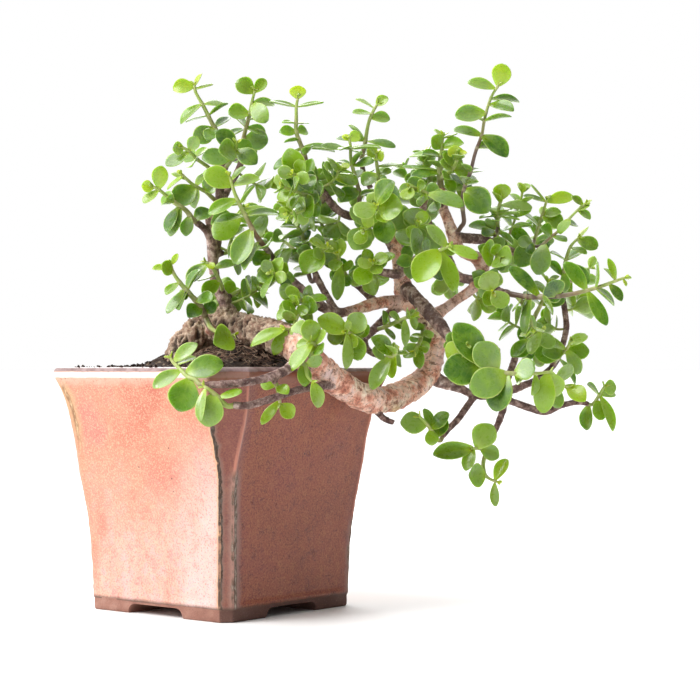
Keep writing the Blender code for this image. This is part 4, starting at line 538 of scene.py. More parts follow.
def smooth(points, step):
    """Points about a step apart on the Catmull-Rom curve through the given ones."""
    ends = [points[0] * 2 - points[1]] + points + [points[-1] * 2 - points[-2]]
    run = []
    for a, b, c, d in zip(ends, ends[1:], ends[2:], ends[3:]):
        pieces = max(1, round((c - b).xyz.length / (step * MM)))
        for i in range(pieces):
            t = i / pieces
            bend = (2 * a - 5 * b + 4 * c - d) * t * t + (3 * b - a - 3 * c + d) * t ** 3
            run.append(0.5 * (2 * b + (c - a) * t + bend))
    return run + [points[-1]]


def thinned(run, sag):
    """A run without the points that lie this near to the straight line past them."""
    first, last = run[0], run[-1]
    line = last - first
    chosen, furthest = 0, sag * MM
    for i in range(1, len(run) - 1):
        t = (run[i] - first).xyz.dot(line.xyz) / line.xyz.length_squared
        off = (run[i] - first.lerp(last, clamp(t))).length
        if off > furthest:
            chosen, furthest = i, off
    if not chosen:
        return [first, last]
    return thinned(run[:chosen + 1], sag)[:-1] + thinned(run[chosen:], sag)


def with_radii(places, radius):
    """A stem's places with a radius each, from its foot's to its tip's."""
    points = [place.to_4d() for place in places]
    for i, point in enumerate(points):
        point.w = radius + (TIP_RADIUS * MM - radius) * i / (len(points) - 1)
    return points


def tapered(points):
    """The solid model's run of a stem through its points."""
    run = smooth(points, STEM_STEP)
    return run[:1] + thinned(run[1:], STEM_SAG)


def nearest_on(run, gap_to):
    """The point of a run that a measure finds nearest, the run's direction there, and if it is the tip."""
    best = None
    for a, b in zip(run, run[1:]):
        for t in (0, 0.25, 0.5, 0.75, 1):
            point = a.lerp(b, t)
            gap = gap_to(point)
            if best is None or gap < best[0]:
                best = (gap, point, (b - a).xyz.normalized(), b is run[-1] and t == 1)
    return best


def beyond(run, start):
    """The part of a run past a distance from its start."""
    for i, (a, b) in enumerate(zip(run, run[1:])):
        length = (b - a).xyz.length
        if length > start:
            return [a.lerp(b, start / length)] + run[i + 1:]
        start -= length
    return run[-2:]


limb_runs = {name: thinned(smooth([seen(*point) for point in route], LIMB_STEP), LIMB_SAG)
             for name, route in LIMBS.items()}
print("limbs' points:", sum(len(run) for run in limb_runs.values()))

# %% [markdown]
# ## Meshes, objects and back
# Every piece is shaped as a bmesh. These helpers turn one into an object, add one to another, and bring
# back what an object's modifiers make of it.

# %% Mesh helpers


def whole_object(name, mesh):
    """An object of a bmesh. The bmesh is used up."""
    data = bpy.data.meshes.new(name)
    mesh.to_mesh(data)
    mesh.free()
    made = bpy.data.objects.new(name, data)
    scene.collection.objects.link(made)
    return made


def absorb(mesh, other):
    """One bmesh added to another. The added one is used up."""
    data = bpy.data.meshes.new("part")
    other.to_mesh(data)
    other.free()
    mesh.from_mesh(data)
    bpy.data.meshes.remove(data)


def baked(thing, *cutters):
    """The bmesh that an object's modifiers make. The object and its cutters are removed."""
    graph = bpy.context.evaluated_depsgraph_get()
    data = bpy.data.meshes.new_from_object(thing.evaluated_get(graph))
    mesh = bmesh.new()
    mesh.from_mesh(data)
    for one in (thing, *cutters):
        bpy.data.objects.remove(one)
    bpy.data.meshes.remove(data)
    return mesh


# %% [markdown]
# ## Tubes
# A limb or a stem is a bevelled curve: Blender sweeps a round section along it and follows the radius
# of each point. It is made a mesh at once, so that tubes can be joined, searched and reshaped.

# %% A tube along a run


def tube_mesh(run, resolution=0):
    """A limb or a stem as a bmesh: a bevelled curve along a run, its caps welded."""
    curve = bpy.data.curves.new("run", "CURVE")
    curve.dimensions = "3D"
    curve.bevel_depth = MM
    curve.bevel_resolution = resolution
    curve.use_fill_caps = True
    spline = curve.splines.new("POLY")
    spline.points.add(len(run) - 1)
    for point, place in zip(spline.points, run):
        point.co = (*place.xyz, 1)
        point.radius = place.w / MM
    guide = bpy.data.objects.new("run", curve)
    scene.collection.objects.link(guide)
    mesh = baked(guide)
    bpy.data.curves.remove(curve)
    bmesh.ops.remove_doubles(mesh, verts=mesh.verts, dist=1e-6)
    return mesh


def grown_run(run, grow):
    """A run with every radius larger."""
    larger = [point.copy() for point in run]
    for point in larger:
        point.w += grow
    return larger


# %% [markdown]
# ## Room for each leaf
# Two leaves of a real spray never share the same space. Before a leaf is kept, a search tree of it is
# tested against the trees of all that is already there, and the next form is tried if they touch.

# %% Search trees
CLEARANCE = 0.35
THICK_LIMB = 9


def hull(mesh):
    """A search tree of a bmesh, with its box. The bmesh is used up."""
    low = [min(v.co[i] for v in mesh.verts) for i in range(3)]
    high = [max(v.co[i] for v in mesh.verts) for i in range(3)]
    tree = BVHTree.FromBMesh(mesh)
    mesh.free()
    return low, high, tree


def meets(one, other):
    """Whether two search trees touch."""
    apart = any(one[0][i] > other[1][i] or other[0][i] > one[1][i] for i in range(3))
    return not apart and bool(one[2].overlap(other[2]))


def tube_hull(run, grow, resolution=0):
    """A search tree round a limb or a stem, a little larger than it."""
    return hull(tube_mesh(grown_run(run, grow), resolution))


def limb_sides(run):
    """The roundness of a solid limb's section: eight sides for a thick one, six for a thin one."""
    return 2 if max(point.w for point in run) > THICK_LIMB * MM else 1


# %% [markdown]
# ## The simple leaf
# The solid model's leaf has three sides: a flat face and a keel. It is only used here to find each
# leaf's room, so that a fine leaf ends up exactly where its solid is.

# %% A three-sided leaf
LEAF_THICK = 1.5
LEAF_RINGS = (0.2, 0.56, 0.88)
LEAF_RINGS_SMALL = (0.36, 0.8)
LEAF_SKEW = 1.3
LEAF_BLUNT = 0.55
SMALL_LEAF = 14
LEAF_DROOP = 0.1


def half_width(t):
    """The leaf's outline: its half width at a part of its length, as a share of the widest."""
    return max(math.sin(math.pi * t ** LEAF_SKEW), 0) ** LEAF_BLUNT


def leaf_hull(leaf, grow):
    """A search tree of the simple form of a leaf, a little larger than it."""
    place, length, width = leaf
    rings = LEAF_RINGS if length > SMALL_LEAF * MM else LEAF_RINGS_SMALL
    mesh = bmesh.new()
    bmesh.ops.create_uvsphere(mesh, u_segments=3, v_segments=len(rings) + 1, radius=1)
    places = (0, *rings, 1)
    for vertex in mesh.verts:
        t = places[round(math.acos(max(-1, min(1, -vertex.co.z))) / math.pi * (len(places) - 1))]
        side = 0 if abs(vertex.co.x) < 0.1 else -math.copysign(1, vertex.co.x)
        inner = 0 < t < 1
        keel = (LEAF_THICK * MM * min(1, 5 * (1.1 - t)) + grow) * inner * (side == 0)
        rise = grow * inner * (side != 0)
        half = (width / 2 + grow) * half_width(t)
        vertex.co = ((length + grow) * t, half * side, rise - keel - LEAF_DROOP * length * t * t)
    bmesh.ops.transform(mesh, matrix=place, verts=mesh.verts)
    return hull(mesh)


def leaf_place(base, axis, face):
    """The matrix that stands a leaf at its base, along its axis, with its upper side to its face."""
    face = (face - axis * face.dot(axis)).normalized()
    turn = Matrix((axis, face.cross(axis), face)).transposed().to_4x4()
    return Matrix.Translation(base) @ turn


# %% [markdown]
# ## Leaves on a stem
# Some leaves are placed one by one, as the photograph shows them. The others follow the plant's rule:
# opposite pairs, each pair turned a quarter from the last, closer and smaller towards the tip.

# %% Where leaves try to grow
TIP_ROOM = 1.3
LEAF_SINK = 0.2
LEAF_BREADTH = 0.8
PAIRS_OVER = 0.3
SHARED_BACK = 0.55
SHARED_SIZE = 0.9
YOUNGEST = 0.55
OLDER_BY = 0.25
SIZE_SPREAD = (0.9, 1.08)
TIP_OPEN, SIDE_OPEN, OPEN_SPREAD = 35, 62, 8
TURN_SPREAD = 12
HAND_TRIES = (
    (0, 0, 1), (-3, 0, 1), (3, 0, 1), (-5, 15, 1), (5, 15, 1), (-8, -15, 1), (8, -15, 1),
    (-11, 30, 0.95), (11, 30, 0.95), (0, 50, 0.8), (-14, 0, 0.9), (14, 0, 0.9),
)
RULED_TRIES = (
    (0, 0, 1), (12, 0, 1), (-12, 0, 1), (0, 22, 1), (0, -22, 1), (22, 0, 1),
    (10, 38, 0.95), (10, -38, 0.95), (28, 20, 0.9), (28, -20, 0.9), (0, 0, 0.7),
)


def leaf_way(along, level, turn, opening):
    """A leaf's axis and its upper side, from its turn round the stem and how far it opens, in degrees."""
    out = Matrix.Rotation(math.radians(turn), 3, along) @ level
    opening = math.radians(opening)
    axis = along * math.cos(opening) + out * math.sin(opening)
    return axis, along * math.sin(opening) - out * math.cos(opening)


def placed_leaves(stem, rows):
    """The leaves placed one by one on a stem: for each, its forms to try, the wanted one first."""
    for base_x, base_z, tip_x, tip_z, back, width, tilt in rows:
        mark = Vector((base_x, base_z)) * MM
        _, root, along, at_tip = nearest_on(stem, lambda p: (shown(p) - mark).length)
        if at_tip:
            root = root - (along * TIP_ROOM * MM).to_4d()
            root.w = stem[-1].w
        tries = []
        for more, turn, size in HAND_TRIES:
            tip = seen(tip_x, tip_z, root.y / MM + back + more)
            axis = (tip - root.xyz).normalized()
            to_eye = (EYE - root.xyz).normalized()
            face = (to_eye - axis * to_eye.dot(axis)).normalized()
            angle = math.radians(tilt + turn)
            turned = [Matrix.Rotation(sign * angle, 3, axis) @ face for sign in (1, -1)]
            face = max(turned, key=lambda one: one.z)
            length = (tip - root.xyz).length * size
            place = leaf_place(root.xyz + axis * root.w * LEAF_SINK, axis, face)
            tries.append((place, length, width * MM * size))
        yield tries


def ruled_leaves(name, stem, pairs, leaf, turn, shared):
    """The crossed pairs of leaves of the rule: for each leaf, its forms to try, the wanted one first."""
    draw = random.Random(name)
    lengths = [(b - a).xyz.length for a, b in zip(stem, stem[1:])]
    gap = (sum(lengths) - TIP_ROOM * MM) / (pairs + PAIRS_OVER)
    for pair in range(pairs):
        back = (pair + (SHARED_BACK if shared else 0)) * gap + TIP_ROOM * MM
        i = len(lengths) - 1
        while back > lengths[i] and i > 0:
            back -= lengths[i]
            i -= 1
        root = stem[i + 1].lerp(stem[i], min(back / lengths[i], 1))
        along = (stem[i + 1] - stem[i]).xyz.normalized()
        level = along.cross(Vector((0, -1, 0))).normalized()
        share = SHARED_SIZE if shared else min(YOUNGEST + OLDER_BY * pair, 1)
        size = leaf * MM * share * draw.uniform(*SIZE_SPREAD)
        open_angle = SIDE_OPEN if pair or shared else TIP_OPEN
        open_angle += draw.uniform(-OPEN_SPREAD, OPEN_SPREAD)
        first = turn + 90 * (pair % 2) + draw.uniform(-TURN_SPREAD, TURN_SPREAD)
        for side in (0, 180):
            tries = []
            for more, swing, shrink in RULED_TRIES:
                axis, face = leaf_way(along, level, first + side + swing, open_angle + more)
                place = leaf_place(root.xyz + axis * root.w * LEAF_SINK, axis, face)
                tries.append((place, size * shrink, size * shrink * LEAF_BREADTH))
            yield tries


# %% [markdown]
# ## Where stems start
# A shoot grows on from a limb's tip, or out of its side through a short woody collar. A stem that would
# touch something else bends along the line of sight until it is clear, as a real one grows round.

# %% Stems and their collars
SEAT = 0.3
STRAIGHT_START = 3
COLLAR_RADIUS = 1.8
COLLAR_LENGTHS = (2.6, 3.6, 4.6, 6, 8)
COLLAR_SWELL = 1.3
LEAN_MOST = 0.8
FORK_SHARE = 0.85
BEND_STEPS = (0, -4, 4, -8, 8, -12, 12, -16, 16)


def start_of(route, runs, blocked):
    """Where a stem starts on the limbs: its seat, direction and radius, and a collar's centre in the limb."""
    place = route[0].xyz
    found = [nearest_on(run, lambda p: (p.xyz - place).length - p.w) for run in runs]
    _, point, along, at_tip = min(found, key=lambda one: one[0])
    if at_tip:
        return point.xyz, along, point.w, None
    out = (route[1].xyz - point.xyz).normalized()
    side = (out - along * out.dot(along)).normalized()
    out = (side + along * clamp(out.dot(along), -LEAN_MOST, LEAN_MOST)).normalized()
    for length in COLLAR_LENGTHS:
        seat = point.xyz + out * (point.w + length * MM) / out.dot(side)
        first = [(seat + out * part * MM).to_4d() for part in (SEAT, STRAIGHT_START)]
        first[0].w = first[1].w = COLLAR_RADIUS * MM
        if not any(meets(tube_hull(first, 0), other) for other in blocked):
            break
    return seat, out, COLLAR_RADIUS * MM, point.xyz


def bent_clear(places, radius, fixed, blocked):
    """A stem's points and its run, bent past its first places until it touches nothing else."""
    for shift in BEND_STEPS:
        moved = list(places[:fixed])
        for i, place in enumerate(places[fixed:], 1):
            moved.append(place + (place - EYE).normalized() * shift * MM * min(1, i / 2))
        points = with_radii(moved, radius)
        run = tapered(points)
        body = tube_hull(beyond(run, STRAIGHT_START * MM), CLEARANCE * MM)
        if not any(meets(body, other) for other in blocked):
            return points, run
    return with_radii(places, radius), tapered(with_radii(places, radius))


def collar_run(centre, seat, radius):
    """The collar that carries a stem part way along a limb."""
    run = [centre.to_4d(), seat.to_4d()]
    run[0].w, run[1].w = radius * COLLAR_SWELL, radius
    return run

# %% [markdown]
# ## The pot's shape
# The pot is a square that flares in a soft curve from its foot to its rim. Its corners are cut flat: the
# cut is narrow below and widens near the rim. One function gives half the pot's side at any height, and
# another how far the corner panel cuts it. The solid pot and the fine one both come from these.

# %% The pot's numbers
POT_HEIGHT = 150
POT_TURN = 39.14
POT_LEVELS = (0, 1.5, 8, 32, 58, 80, 100, 116, 131, 143, 148, 150)
BASE_HALF = 58.5
RIM_FLARE = 25
FLARE_POWER = 2.5
BASE_CHAMFER = 5.8
CHAMFER_FLARE = 11
CHAMFER_FROM = 78
CHAMFER_OVER = 60
CHAMFER_INSET = 0.58
LIP_BASE = 143
LIP_PROUD = 0.6
EDGE_ROUND = 1.8
WALL = 7
FLOOR_HEIGHT = 15
FOOT_HEIGHT = 6
FOOT_GAP = 46
FOOT_ROUND = 5.5
DRAIN_RADIUS = 9
POT_CLEARANCE = 0.5


def pot_half(height):
    """Half the pot's side at a height, up to where its lip begins."""
    return BASE_HALF + RIM_FLARE * (clamp(height, 0, LIP_BASE) / POT_HEIGHT) ** FLARE_POWER


def pot_chamfer(height):
    """How far a corner panel cuts each side at a height: narrow below, widening softly to the rim."""
    part = clamp((height - CHAMFER_FROM) / CHAMFER_OVER)
    return BASE_CHAMFER + CHAMFER_FLARE * part * part * (3 - 2 * part)


def plain_ring(height, half, chamfer):
    """The eight corner points of the pot's section at a height."""
    turn = Matrix.Rotation(math.radians(-POT_TURN), 3, "Z")
    corners = []
    for quarter in range(4):
        side = Matrix.Rotation(math.radians(90 * quarter), 3, "Z")
        for x, y in ((half, half - chamfer), (half - chamfer, half)):
            corners.append(turn @ side @ Vector((x, y, height)) * MM)
    return corners


def solid_ring(height):
    """The solid pot's section at a height, grown by the room that leaves keep from it."""
    half = pot_half(height) + POT_CLEARANCE
    half += LIP_PROUD * (height >= LIP_BASE) - EDGE_ROUND * (height in (0, POT_HEIGHT))
    chamfer = pot_chamfer(height) + POT_CLEARANCE * CHAMFER_INSET
    return plain_ring(height, half, chamfer)


def stacked(rings):
    """A closed bmesh: the first ring as a face, pulled up through all the others."""
    mesh = bmesh.new()
    face = mesh.faces.new([mesh.verts.new(place) for place in rings[0]])
    edges = face.edges[:]
    corners = face.verts[:]
    for ring in rings[1:]:
        made = bmesh.ops.extrude_edge_only(mesh, edges=edges)["geom"]
        edges = [part for part in made if isinstance(part, bmesh.types.BMEdge) and part.is_boundary]
        above = {}
        for edge in edges:
            for vertex in edge.verts:
                for link in vertex.link_edges:
                    if link.other_vert(vertex) in corners:
                        above[link.other_vert(vertex)] = vertex
        corners = [above[vertex] for vertex in corners]
        for vertex, place in zip(corners, ring):
            vertex.co = place
    mesh.faces.new(corners)
    bmesh.ops.recalc_face_normals(mesh, faces=mesh.faces)
    return mesh


def root_lumps(grow=0.0, roundness=2):
    """The lumps of the root base and the foot that stands in the soil, as bmeshes."""
    lumps = []
    for across, height, depth, wide, tall, deep, turn in ROOT_LUMPS:
        lump = bmesh.new()
        size = Matrix.Diagonal(((wide + grow) * MM, (deep + grow) * MM, (tall + grow) * MM, 1))
        place = Matrix.Translation(seen(across, height, depth)) @ Matrix.Rotation(math.radians(turn), 4, "Y")
        bmesh.ops.create_icosphere(lump, subdivisions=roundness, radius=1, matrix=place @ size)
        lumps.append(lump)
    x, y, low, high, low_radius, high_radius = ROOT_FOOT
    foot = bmesh.new()
    middle = Matrix.Translation(Vector((x, y, (low + high) / 2)) * MM)
    bmesh.ops.create_cone(foot, cap_ends=True, segments=12, radius1=(low_radius + grow) * MM,
                          radius2=(high_radius + grow) * MM, depth=(high - low + 2 * grow) * MM,
                          matrix=middle)
    return lumps + [foot]


solids = [tube_hull(run, 0, limb_sides(run)) for run in limb_runs.values()]
solids += [hull(lump) for lump in root_lumps()]
solids.append(hull(stacked([solid_ring(height) for height in POT_LEVELS])))
print(len(solids), "solids that leaves keep clear of")

# %% [markdown]
# ## Growing the sprays
# The sprays grow one after another in a fixed order. First every stem finds its way, then the leaves
# placed one by one, and last the leaves of the rule fill what room is left. What is random is seeded
# by the spray's own name, so the same tree grows each time.

# %% All sprays, grown


def settled(tries, name, leaf_hulls, stem_hulls, blocked):
    """The first form of a leaf that touches nothing, with its hull, or nothing."""
    for leaf in tries:
        roomy, exact = leaf_hull(leaf, CLEARANCE * MM), leaf_hull(leaf, 0)
        taken = any(meets(roomy, one) for one in blocked)
        taken = taken or any(meets(exact, one) for one in leaf_hulls[name])
        for other in SPRAYS:
            if other != name and not taken:
                taken = any(meets(roomy, one) for one in stem_hulls[other] + leaf_hulls[other])
        if not taken:
            return leaf, exact
    return None


def with_room(wanted, name, leaf_hulls, stem_hulls, blocked):
    """The wanted leaves that find room. Their hulls join those of their spray."""
    leaves = []
    for tries in wanted:
        found = settled(tries, name, leaf_hulls, stem_hulls, blocked)
        if found:
            leaf_hulls[name].append(found[1])
            leaves.append(found[0])
    return leaves


def grown(limbs, blocked):
    """Every spray: its stems' points and runs, its leaves by stem, and its collar."""
    starts = {name: start_of([seen(*point) for point in rows[0][0]], limbs, blocked)
              for name, rows in SPRAYS.items()}
    collars = {name: collar_run(centre, seat, radius)
               for name, (seat, _, radius, centre) in starts.items() if centre}
    blocked = blocked + [tube_hull(run, 0) for run in collars.values()]
    sprays, stem_hulls = {}, {}
    for name, rows in SPRAYS.items():
        seat, out, radius, _ = starts[name]
        others = blocked + [one for several in stem_hulls.values() for one in several]
        stems = []
        for route, *_ in rows:
            points = [seen(*point) for point in route]
            if not stems:
                first = seat + out * SEAT * MM
                onward = [p for p in points[1:-1] if (p - first).dot(out) > 2 * STRAIGHT_START * MM]
                places = [first, first + out * STRAIGHT_START * MM] + onward + points[-1:]
                stems.append(bent_clear(places, radius, 2, others))
            else:
                free = beyond(stems[0][1], 2 * STRAIGHT_START * MM)
                _, fork, _, _ = nearest_on(free, lambda p: (p.xyz - points[0]).length)
                stems.append(bent_clear([fork.xyz] + points[1:], fork.w * FORK_SHARE, 1, others))
        stem_hulls[name] = [tube_hull(run, 0) for _, run in stems]
        sprays[name] = {"stems": stems, "leaves": [[] for _ in stems], "collar": collars.get(name),
                        "out": out}
    leaf_hulls = {name: [] for name in SPRAYS}
    for by_rule in (False, True):
        for name, rows in SPRAYS.items():
            for i, ((_, stem), row) in enumerate(zip(sprays[name]["stems"], rows)):
                _, pairs, leaf, turn, by_hand = row
                wanted = (ruled_leaves(f"{name}{i}", stem, pairs, leaf, turn, bool(by_hand)) if by_rule
                          else placed_leaves(stem, by_hand))
                sprays[name]["leaves"][i] += with_room(wanted, name, leaf_hulls, stem_hulls, blocked)
    return sprays, blocked, stem_hulls, leaf_hulls


sprays, blocked, stem_hulls, leaf_hulls = grown(list(limb_runs.values()), solids)
leaf_count = sum(len(leaves) for spray in sprays.values() for leaves in spray["leaves"])
print(leaf_count, "leaves have the solid model's places")

# %% [markdown]
# ## More young leaves
# The crown of the real tree is denser than the solid model, which keeps to a limit of triangles. So
# small leaves are added here in the crowded middle, only where they touch nothing, and never at the
# outline, which the placed leaves already give.

# %% Leaves in the crowded middle
CROWD_ACROSS = (24, 196)
CROWD_UP = (150, 292)
MORE_PAIRS = 4
MORE_LEAF = 12.5
MORE_TURN = 45
MORE_TRIES = 6


def crowded(leaf):
    """Whether the whole leaf shows inside the crowded middle of the crown."""
    place, length, _ = leaf
    for part in (0, 1):
        across, height = shown(place @ Vector((length * part, 0, 0))) / MM
        if not (CROWD_ACROSS[0] < across < CROWD_ACROSS[1] and CROWD_UP[0] < height < CROWD_UP[1]):
            return False
    return True


more_count = 0
for name, rows in SPRAYS.items():
    for i, ((_, stem), row) in enumerate(zip(sprays[name]["stems"], rows)):
        size = min(row[2], MORE_LEAF)
        ruled = ruled_leaves(f"{name}{i}more", stem, MORE_PAIRS, size, row[3] + MORE_TURN, True)
        wanted = [[one for one in tries[:MORE_TRIES] if crowded(one)] for tries in ruled]
        more = with_room(wanted, name, leaf_hulls, stem_hulls, blocked)
        sprays[name]["leaves"][i] += more
        more_count += len(more)
print(more_count, "more leaves in the middle")

# %% [markdown]
# ## Young shoots inside the crown
# The photograph shows leaves in places that the solid sprays leave empty. A short shoot grows from the
# nearest limb to each of these, at the first depth where it touches nothing, and carries crossed pairs.

# %% Shoots in the empty places
# Each place as seen from the camera, in millimetres: across and up
EMPTY_PLACES = (
    (12, 221), (21, 197), (2, 194), (27, 262), (59, 265), (48, 246), (71, 268), (72, 238), (58, 222),
    (142, 203), (181, 221), (162, 192), (179, 179), (206, 175), (221, 187), (187, 252), (219, 224),
    (150, 262), (172, 205), (36, 210), (92, 208), (196, 160), (84, 256), (128, 232), (200, 238),
)
SHOOT_RADIUS = 0.95
SHOOT_SAG = 1
SHOOT_LIFT = 0.8
SHOOT_PAST = 5
SHOOT_BARE = 1.2
SHOOT_ROOM = 0.2
SHOOT_TURN = 40
SHOOT_PAIRS = 4
SHOOT_LEAF = 15
SHOOT_DEPTHS = (5, -7, 13, -14, 22, -20)
SHOOT_LEAVES_MIN = 4
limb_points = [point for route in LIMBS.values() for point in smooth([seen(*p) for p in route], LIMB_STEP)]
inner, inner_hulls = {}, []
for number, (across, height) in enumerate(EMPTY_PLACES):
    name, spot = f"inner_{number}", Vector((across, height)) * MM
    foot = min(limb_points, key=lambda point: (shown(point.xyz) - spot).length)
    leafy_hulls = [one for kind in (stem_hulls, leaf_hulls) for several in kind.values() for one in several]
    taken = blocked + inner_hulls + leafy_hulls
    best = ((), None, ())
    for depth in SHOOT_DEPTHS:
        goal = seen(across, height, foot.y / MM + depth)
        way = (goal - foot.xyz).normalized()
        halfway = foot.xyz.lerp(goal, 0.5) - Vector((0, 0, SHOOT_SAG * MM))
        tip = goal + (way + Vector((0, 0, SHOOT_LIFT))) * SHOOT_PAST * MM
        points = with_radii([foot.xyz, halfway, goal, tip], SHOOT_RADIUS * MM)
        free = beyond(tapered(points), foot.w + SHOOT_BARE * MM)
        body = tube_hull(free, SHOOT_ROOM * MM)
        if any(meets(body, one) for one in taken):
            continue
        leaf_hulls[name] = []
        ruled = ruled_leaves(name, free, SHOOT_PAIRS, SHOOT_LEAF, SHOOT_TURN * number, False)
        leaves = with_room(ruled, name, leaf_hulls, stem_hulls, blocked + inner_hulls)
        if len(leaves) > len(best[0]):
            best = (leaves, points, leaf_hulls[name] + [tube_hull(free, 0)])
    leaf_hulls.pop(name, None)
    if len(best[0]) >= SHOOT_LEAVES_MIN:
        inner[name] = {"stems": [(best[1], None)], "leaves": [best[0]], "out": Vector()}
        inner_hulls += best[2]
shoot_leaves = sum(len(spray["leaves"][0]) for spray in inner.values())
print(len(inner), "shoots inside the crown, with", shoot_leaves, "leaves")

# %% [markdown]
# ## A node's worth of help
# A material is a small network. These helpers add one node and wire it in one line: a value that is a
# socket is linked, and any other value is set on the socket itself. They all work on the network in
# hand, which is always named tree, and its surface is always named shader.

# %% Material helpers


def put(kind, settings=None, **sockets):
    """A new shader node with its settings, and its sockets set or linked by name or number."""
    made = tree.nodes.new("ShaderNode" + kind)
    for key, value in (settings or {}).items():
        setattr(made, key, value)
    for key, value in sockets.items():
        socket = made.inputs[int(key[1:]) if key[0] == "_" else key.replace("_", " ")]
        if isinstance(value, bpy.types.NodeSocket):
            tree.links.new(value, socket)
        else:
            socket.default_value = value
    return made


def blend(part, first, second):
    """The colour between two colours, by a part from 0 to 1."""
    first, second = ((*c, 1) if isinstance(c, tuple) else c for c in (first, second))
    return put("Mix", {"data_type": "RGBA"}, _0=part, _6=first, _7=second).outputs[2]


def sum_of(operation, *numbers):
    """A sum of numbers, such as MULTIPLY or ADD."""
    sockets = {f"_{i}": number for i, number in enumerate(numbers)}
    return put("Math", {"operation": operation}, **sockets).outputs[0]


def times(first, second):
    """One number times another."""
    return sum_of("MULTIPLY", first, second)


def plus(first, second):
    """One number plus another."""
    return sum_of("ADD", first, second)


def minus(first, second):
    """One number less another."""
    return sum_of("SUBTRACT", first, second)


def scaled(number, by, more):
    """A number times another, and a third added."""
    return sum_of("MULTIPLY_ADD", number, by, more)


def ramp(part, *stops):
    """A colour or a grey by a part from 0 to 1, from stops of (place, colour)."""
    made = put("ValToRGB", Fac=part)
    band = made.color_ramp
    while len(band.elements) < len(stops):
        band.elements.new(0.5)
    for element, (place, colour) in zip(band.elements, stops):
        element.position = place
        element.color = (*colour, 1) if isinstance(colour, tuple) else (colour, colour, colour, 1)
    return made.outputs[0]


def over(colour, *coats):
    """A colour with coats laid over it: each has its part, that part's two stops, and its colour."""
    for part, first, last, coat in coats:
        colour = blend(ramp(part, first, last), colour, coat)
    return colour


def attribute(name):
    """A number that the mesh carries at each vertex."""
    return put("Attribute", {"attribute_name": name}).outputs["Fac"]


def noise_of(place, scale, detail=4.0, roughness=0.55):
    """Soft noise from 0 to 1 on a place, its scale in lumps a metre."""
    return put("TexNoise", Vector=place, Scale=scale, Detail=detail, Roughness=roughness).outputs["Fac"]


def started(name, **constants):
    """A new material with its tree, its shader and its object coordinates."""
    material = bpy.data.materials.new(name)
    material.use_nodes = True
    nodes = material.node_tree.nodes
    surface = nodes["Principled BSDF"]
    for key, value in constants.items():
        surface.inputs[key.replace("_", " ")].default_value = value
    return material, material.node_tree, surface, nodes.new("ShaderNodeTexCoord").outputs["Object"]


def finished(colour, roughness=None, height=None, depth=0.3 * MM, strength=1.0):
    """The last links of a material: colour, roughness, and a bump of this depth in metres."""
    tree.links.new(colour, shader.inputs["Base Color"])
    if roughness is not None:
        tree.links.new(roughness, shader.inputs["Roughness"])
    if height is not None:
        bump = put("Bump", Strength=strength, Distance=depth, Height=height)
        tree.links.new(bump.outputs[0], shader.inputs["Normal"])


# %% [markdown]
# ## The leaf's finish
# A leaf of this plant is fleshy and waxy: bright yellow-green when young and deeper when old, a little
# paler along its margin and underneath, with a faint midrib, fine pale dots, and a soft gloss. Light
# enters it and spreads, so it has some subsurface. Each leaf carries its own tone and age as numbers
# on its vertices, so that no two look stamped from one mould. Two marks are painted light: a paler
# yellow-green base is a painted glow, and a high tone turns a leaf grey-green, partly its own waxy
# tone and partly a painted sheen.

# %% Leaf material
leaf_finish, tree, shader, place = started(
    "fleshy_leaf", Subsurface_Weight=0.28, Subsurface_Radius=(0.9, 1.6, 0.25), Subsurface_Scale=1.8 * MM,
    Coat_Weight=0.5, Coat_Roughness=0.16, Specular_IOR_Level=0.45)
along, across, age, tone, under = (attribute("leaf_" + name) for name in ("along", "across", "age", "tone",
                                                                          "under"))
green = ramp(age, (0.0, (0.55, 0.62, 0.01)), (0.25, (0.27, 0.43, 0.006)), (0.6, (0.095, 0.235, 0.004)),
             (1.0, (0.055, 0.15, 0.006)))
# Partly painted sheen: a high tone turns a leaf grey-green, partly its own waxy tone
green = blend(ramp(tone, (0.5, 0.0), (0.75, 0.55), (1.0, 0.75)), green, (0.21, 0.32, 0.085))
soft = noise_of(place, 170, 3)
away = sum_of("ABSOLUTE", across)
green = over(
    green,
    (tone, (0.0, 0.85), (0.3, 0.0), (0.025, 0.095, 0.005)),
    (soft, (0.42, 0.0), (0.68, 0.45), (0.22, 0.38, 0.015)),
    # Painted glow: paler yellow-green towards the leaf's base
    (along, (0.05, 0.6), (0.36, 0.0), (0.42, 0.58, 0.03)),
    (away, (0.93, 0.0), (1.0, 0.5), (0.5, 0.6, 0.15)),
)
ribs = times(ramp(away, (0.0, 0.3), (0.09, 0.0)), ramp(along, (0.0, 1.0), (0.8, 0.0)))
green = blend(ribs, green, (0.42, 0.56, 0.1))
slant = minus(along, times(away, 0.34))
side_veins = ramp(sum_of("PINGPONG", slant, 0.085), (0.0, 0.14), (0.02, 0.0))
green = blend(side_veins, green, (0.36, 0.5, 0.08))
dots = put("TexVoronoi", Vector=place, Scale=1500.0).outputs["Distance"]
green = over(green, (dots, (0.12, 0.14), (0.3, 0.0), (0.5, 0.62, 0.12)))
green = blend(times(under, 0.4), green, (0.27, 0.4, 0.08))
wax = ramp(noise_of(place, 420, 3), (0.3, 0.22), (0.7, 0.4))
skin = plus(noise_of(place, 900, 2), times(side_veins, -1.5))
finished(green, wax, skin, 0.12 * MM, 0.5)
print("leaf finish:", len(tree.nodes), "nodes")

# %% [markdown]
# ## The young stem's finish
# Young stems are smooth and yellow-green, reddish here and there, and turn purple-brown towards their
# foot. A pale ring marks each pair of leaves.

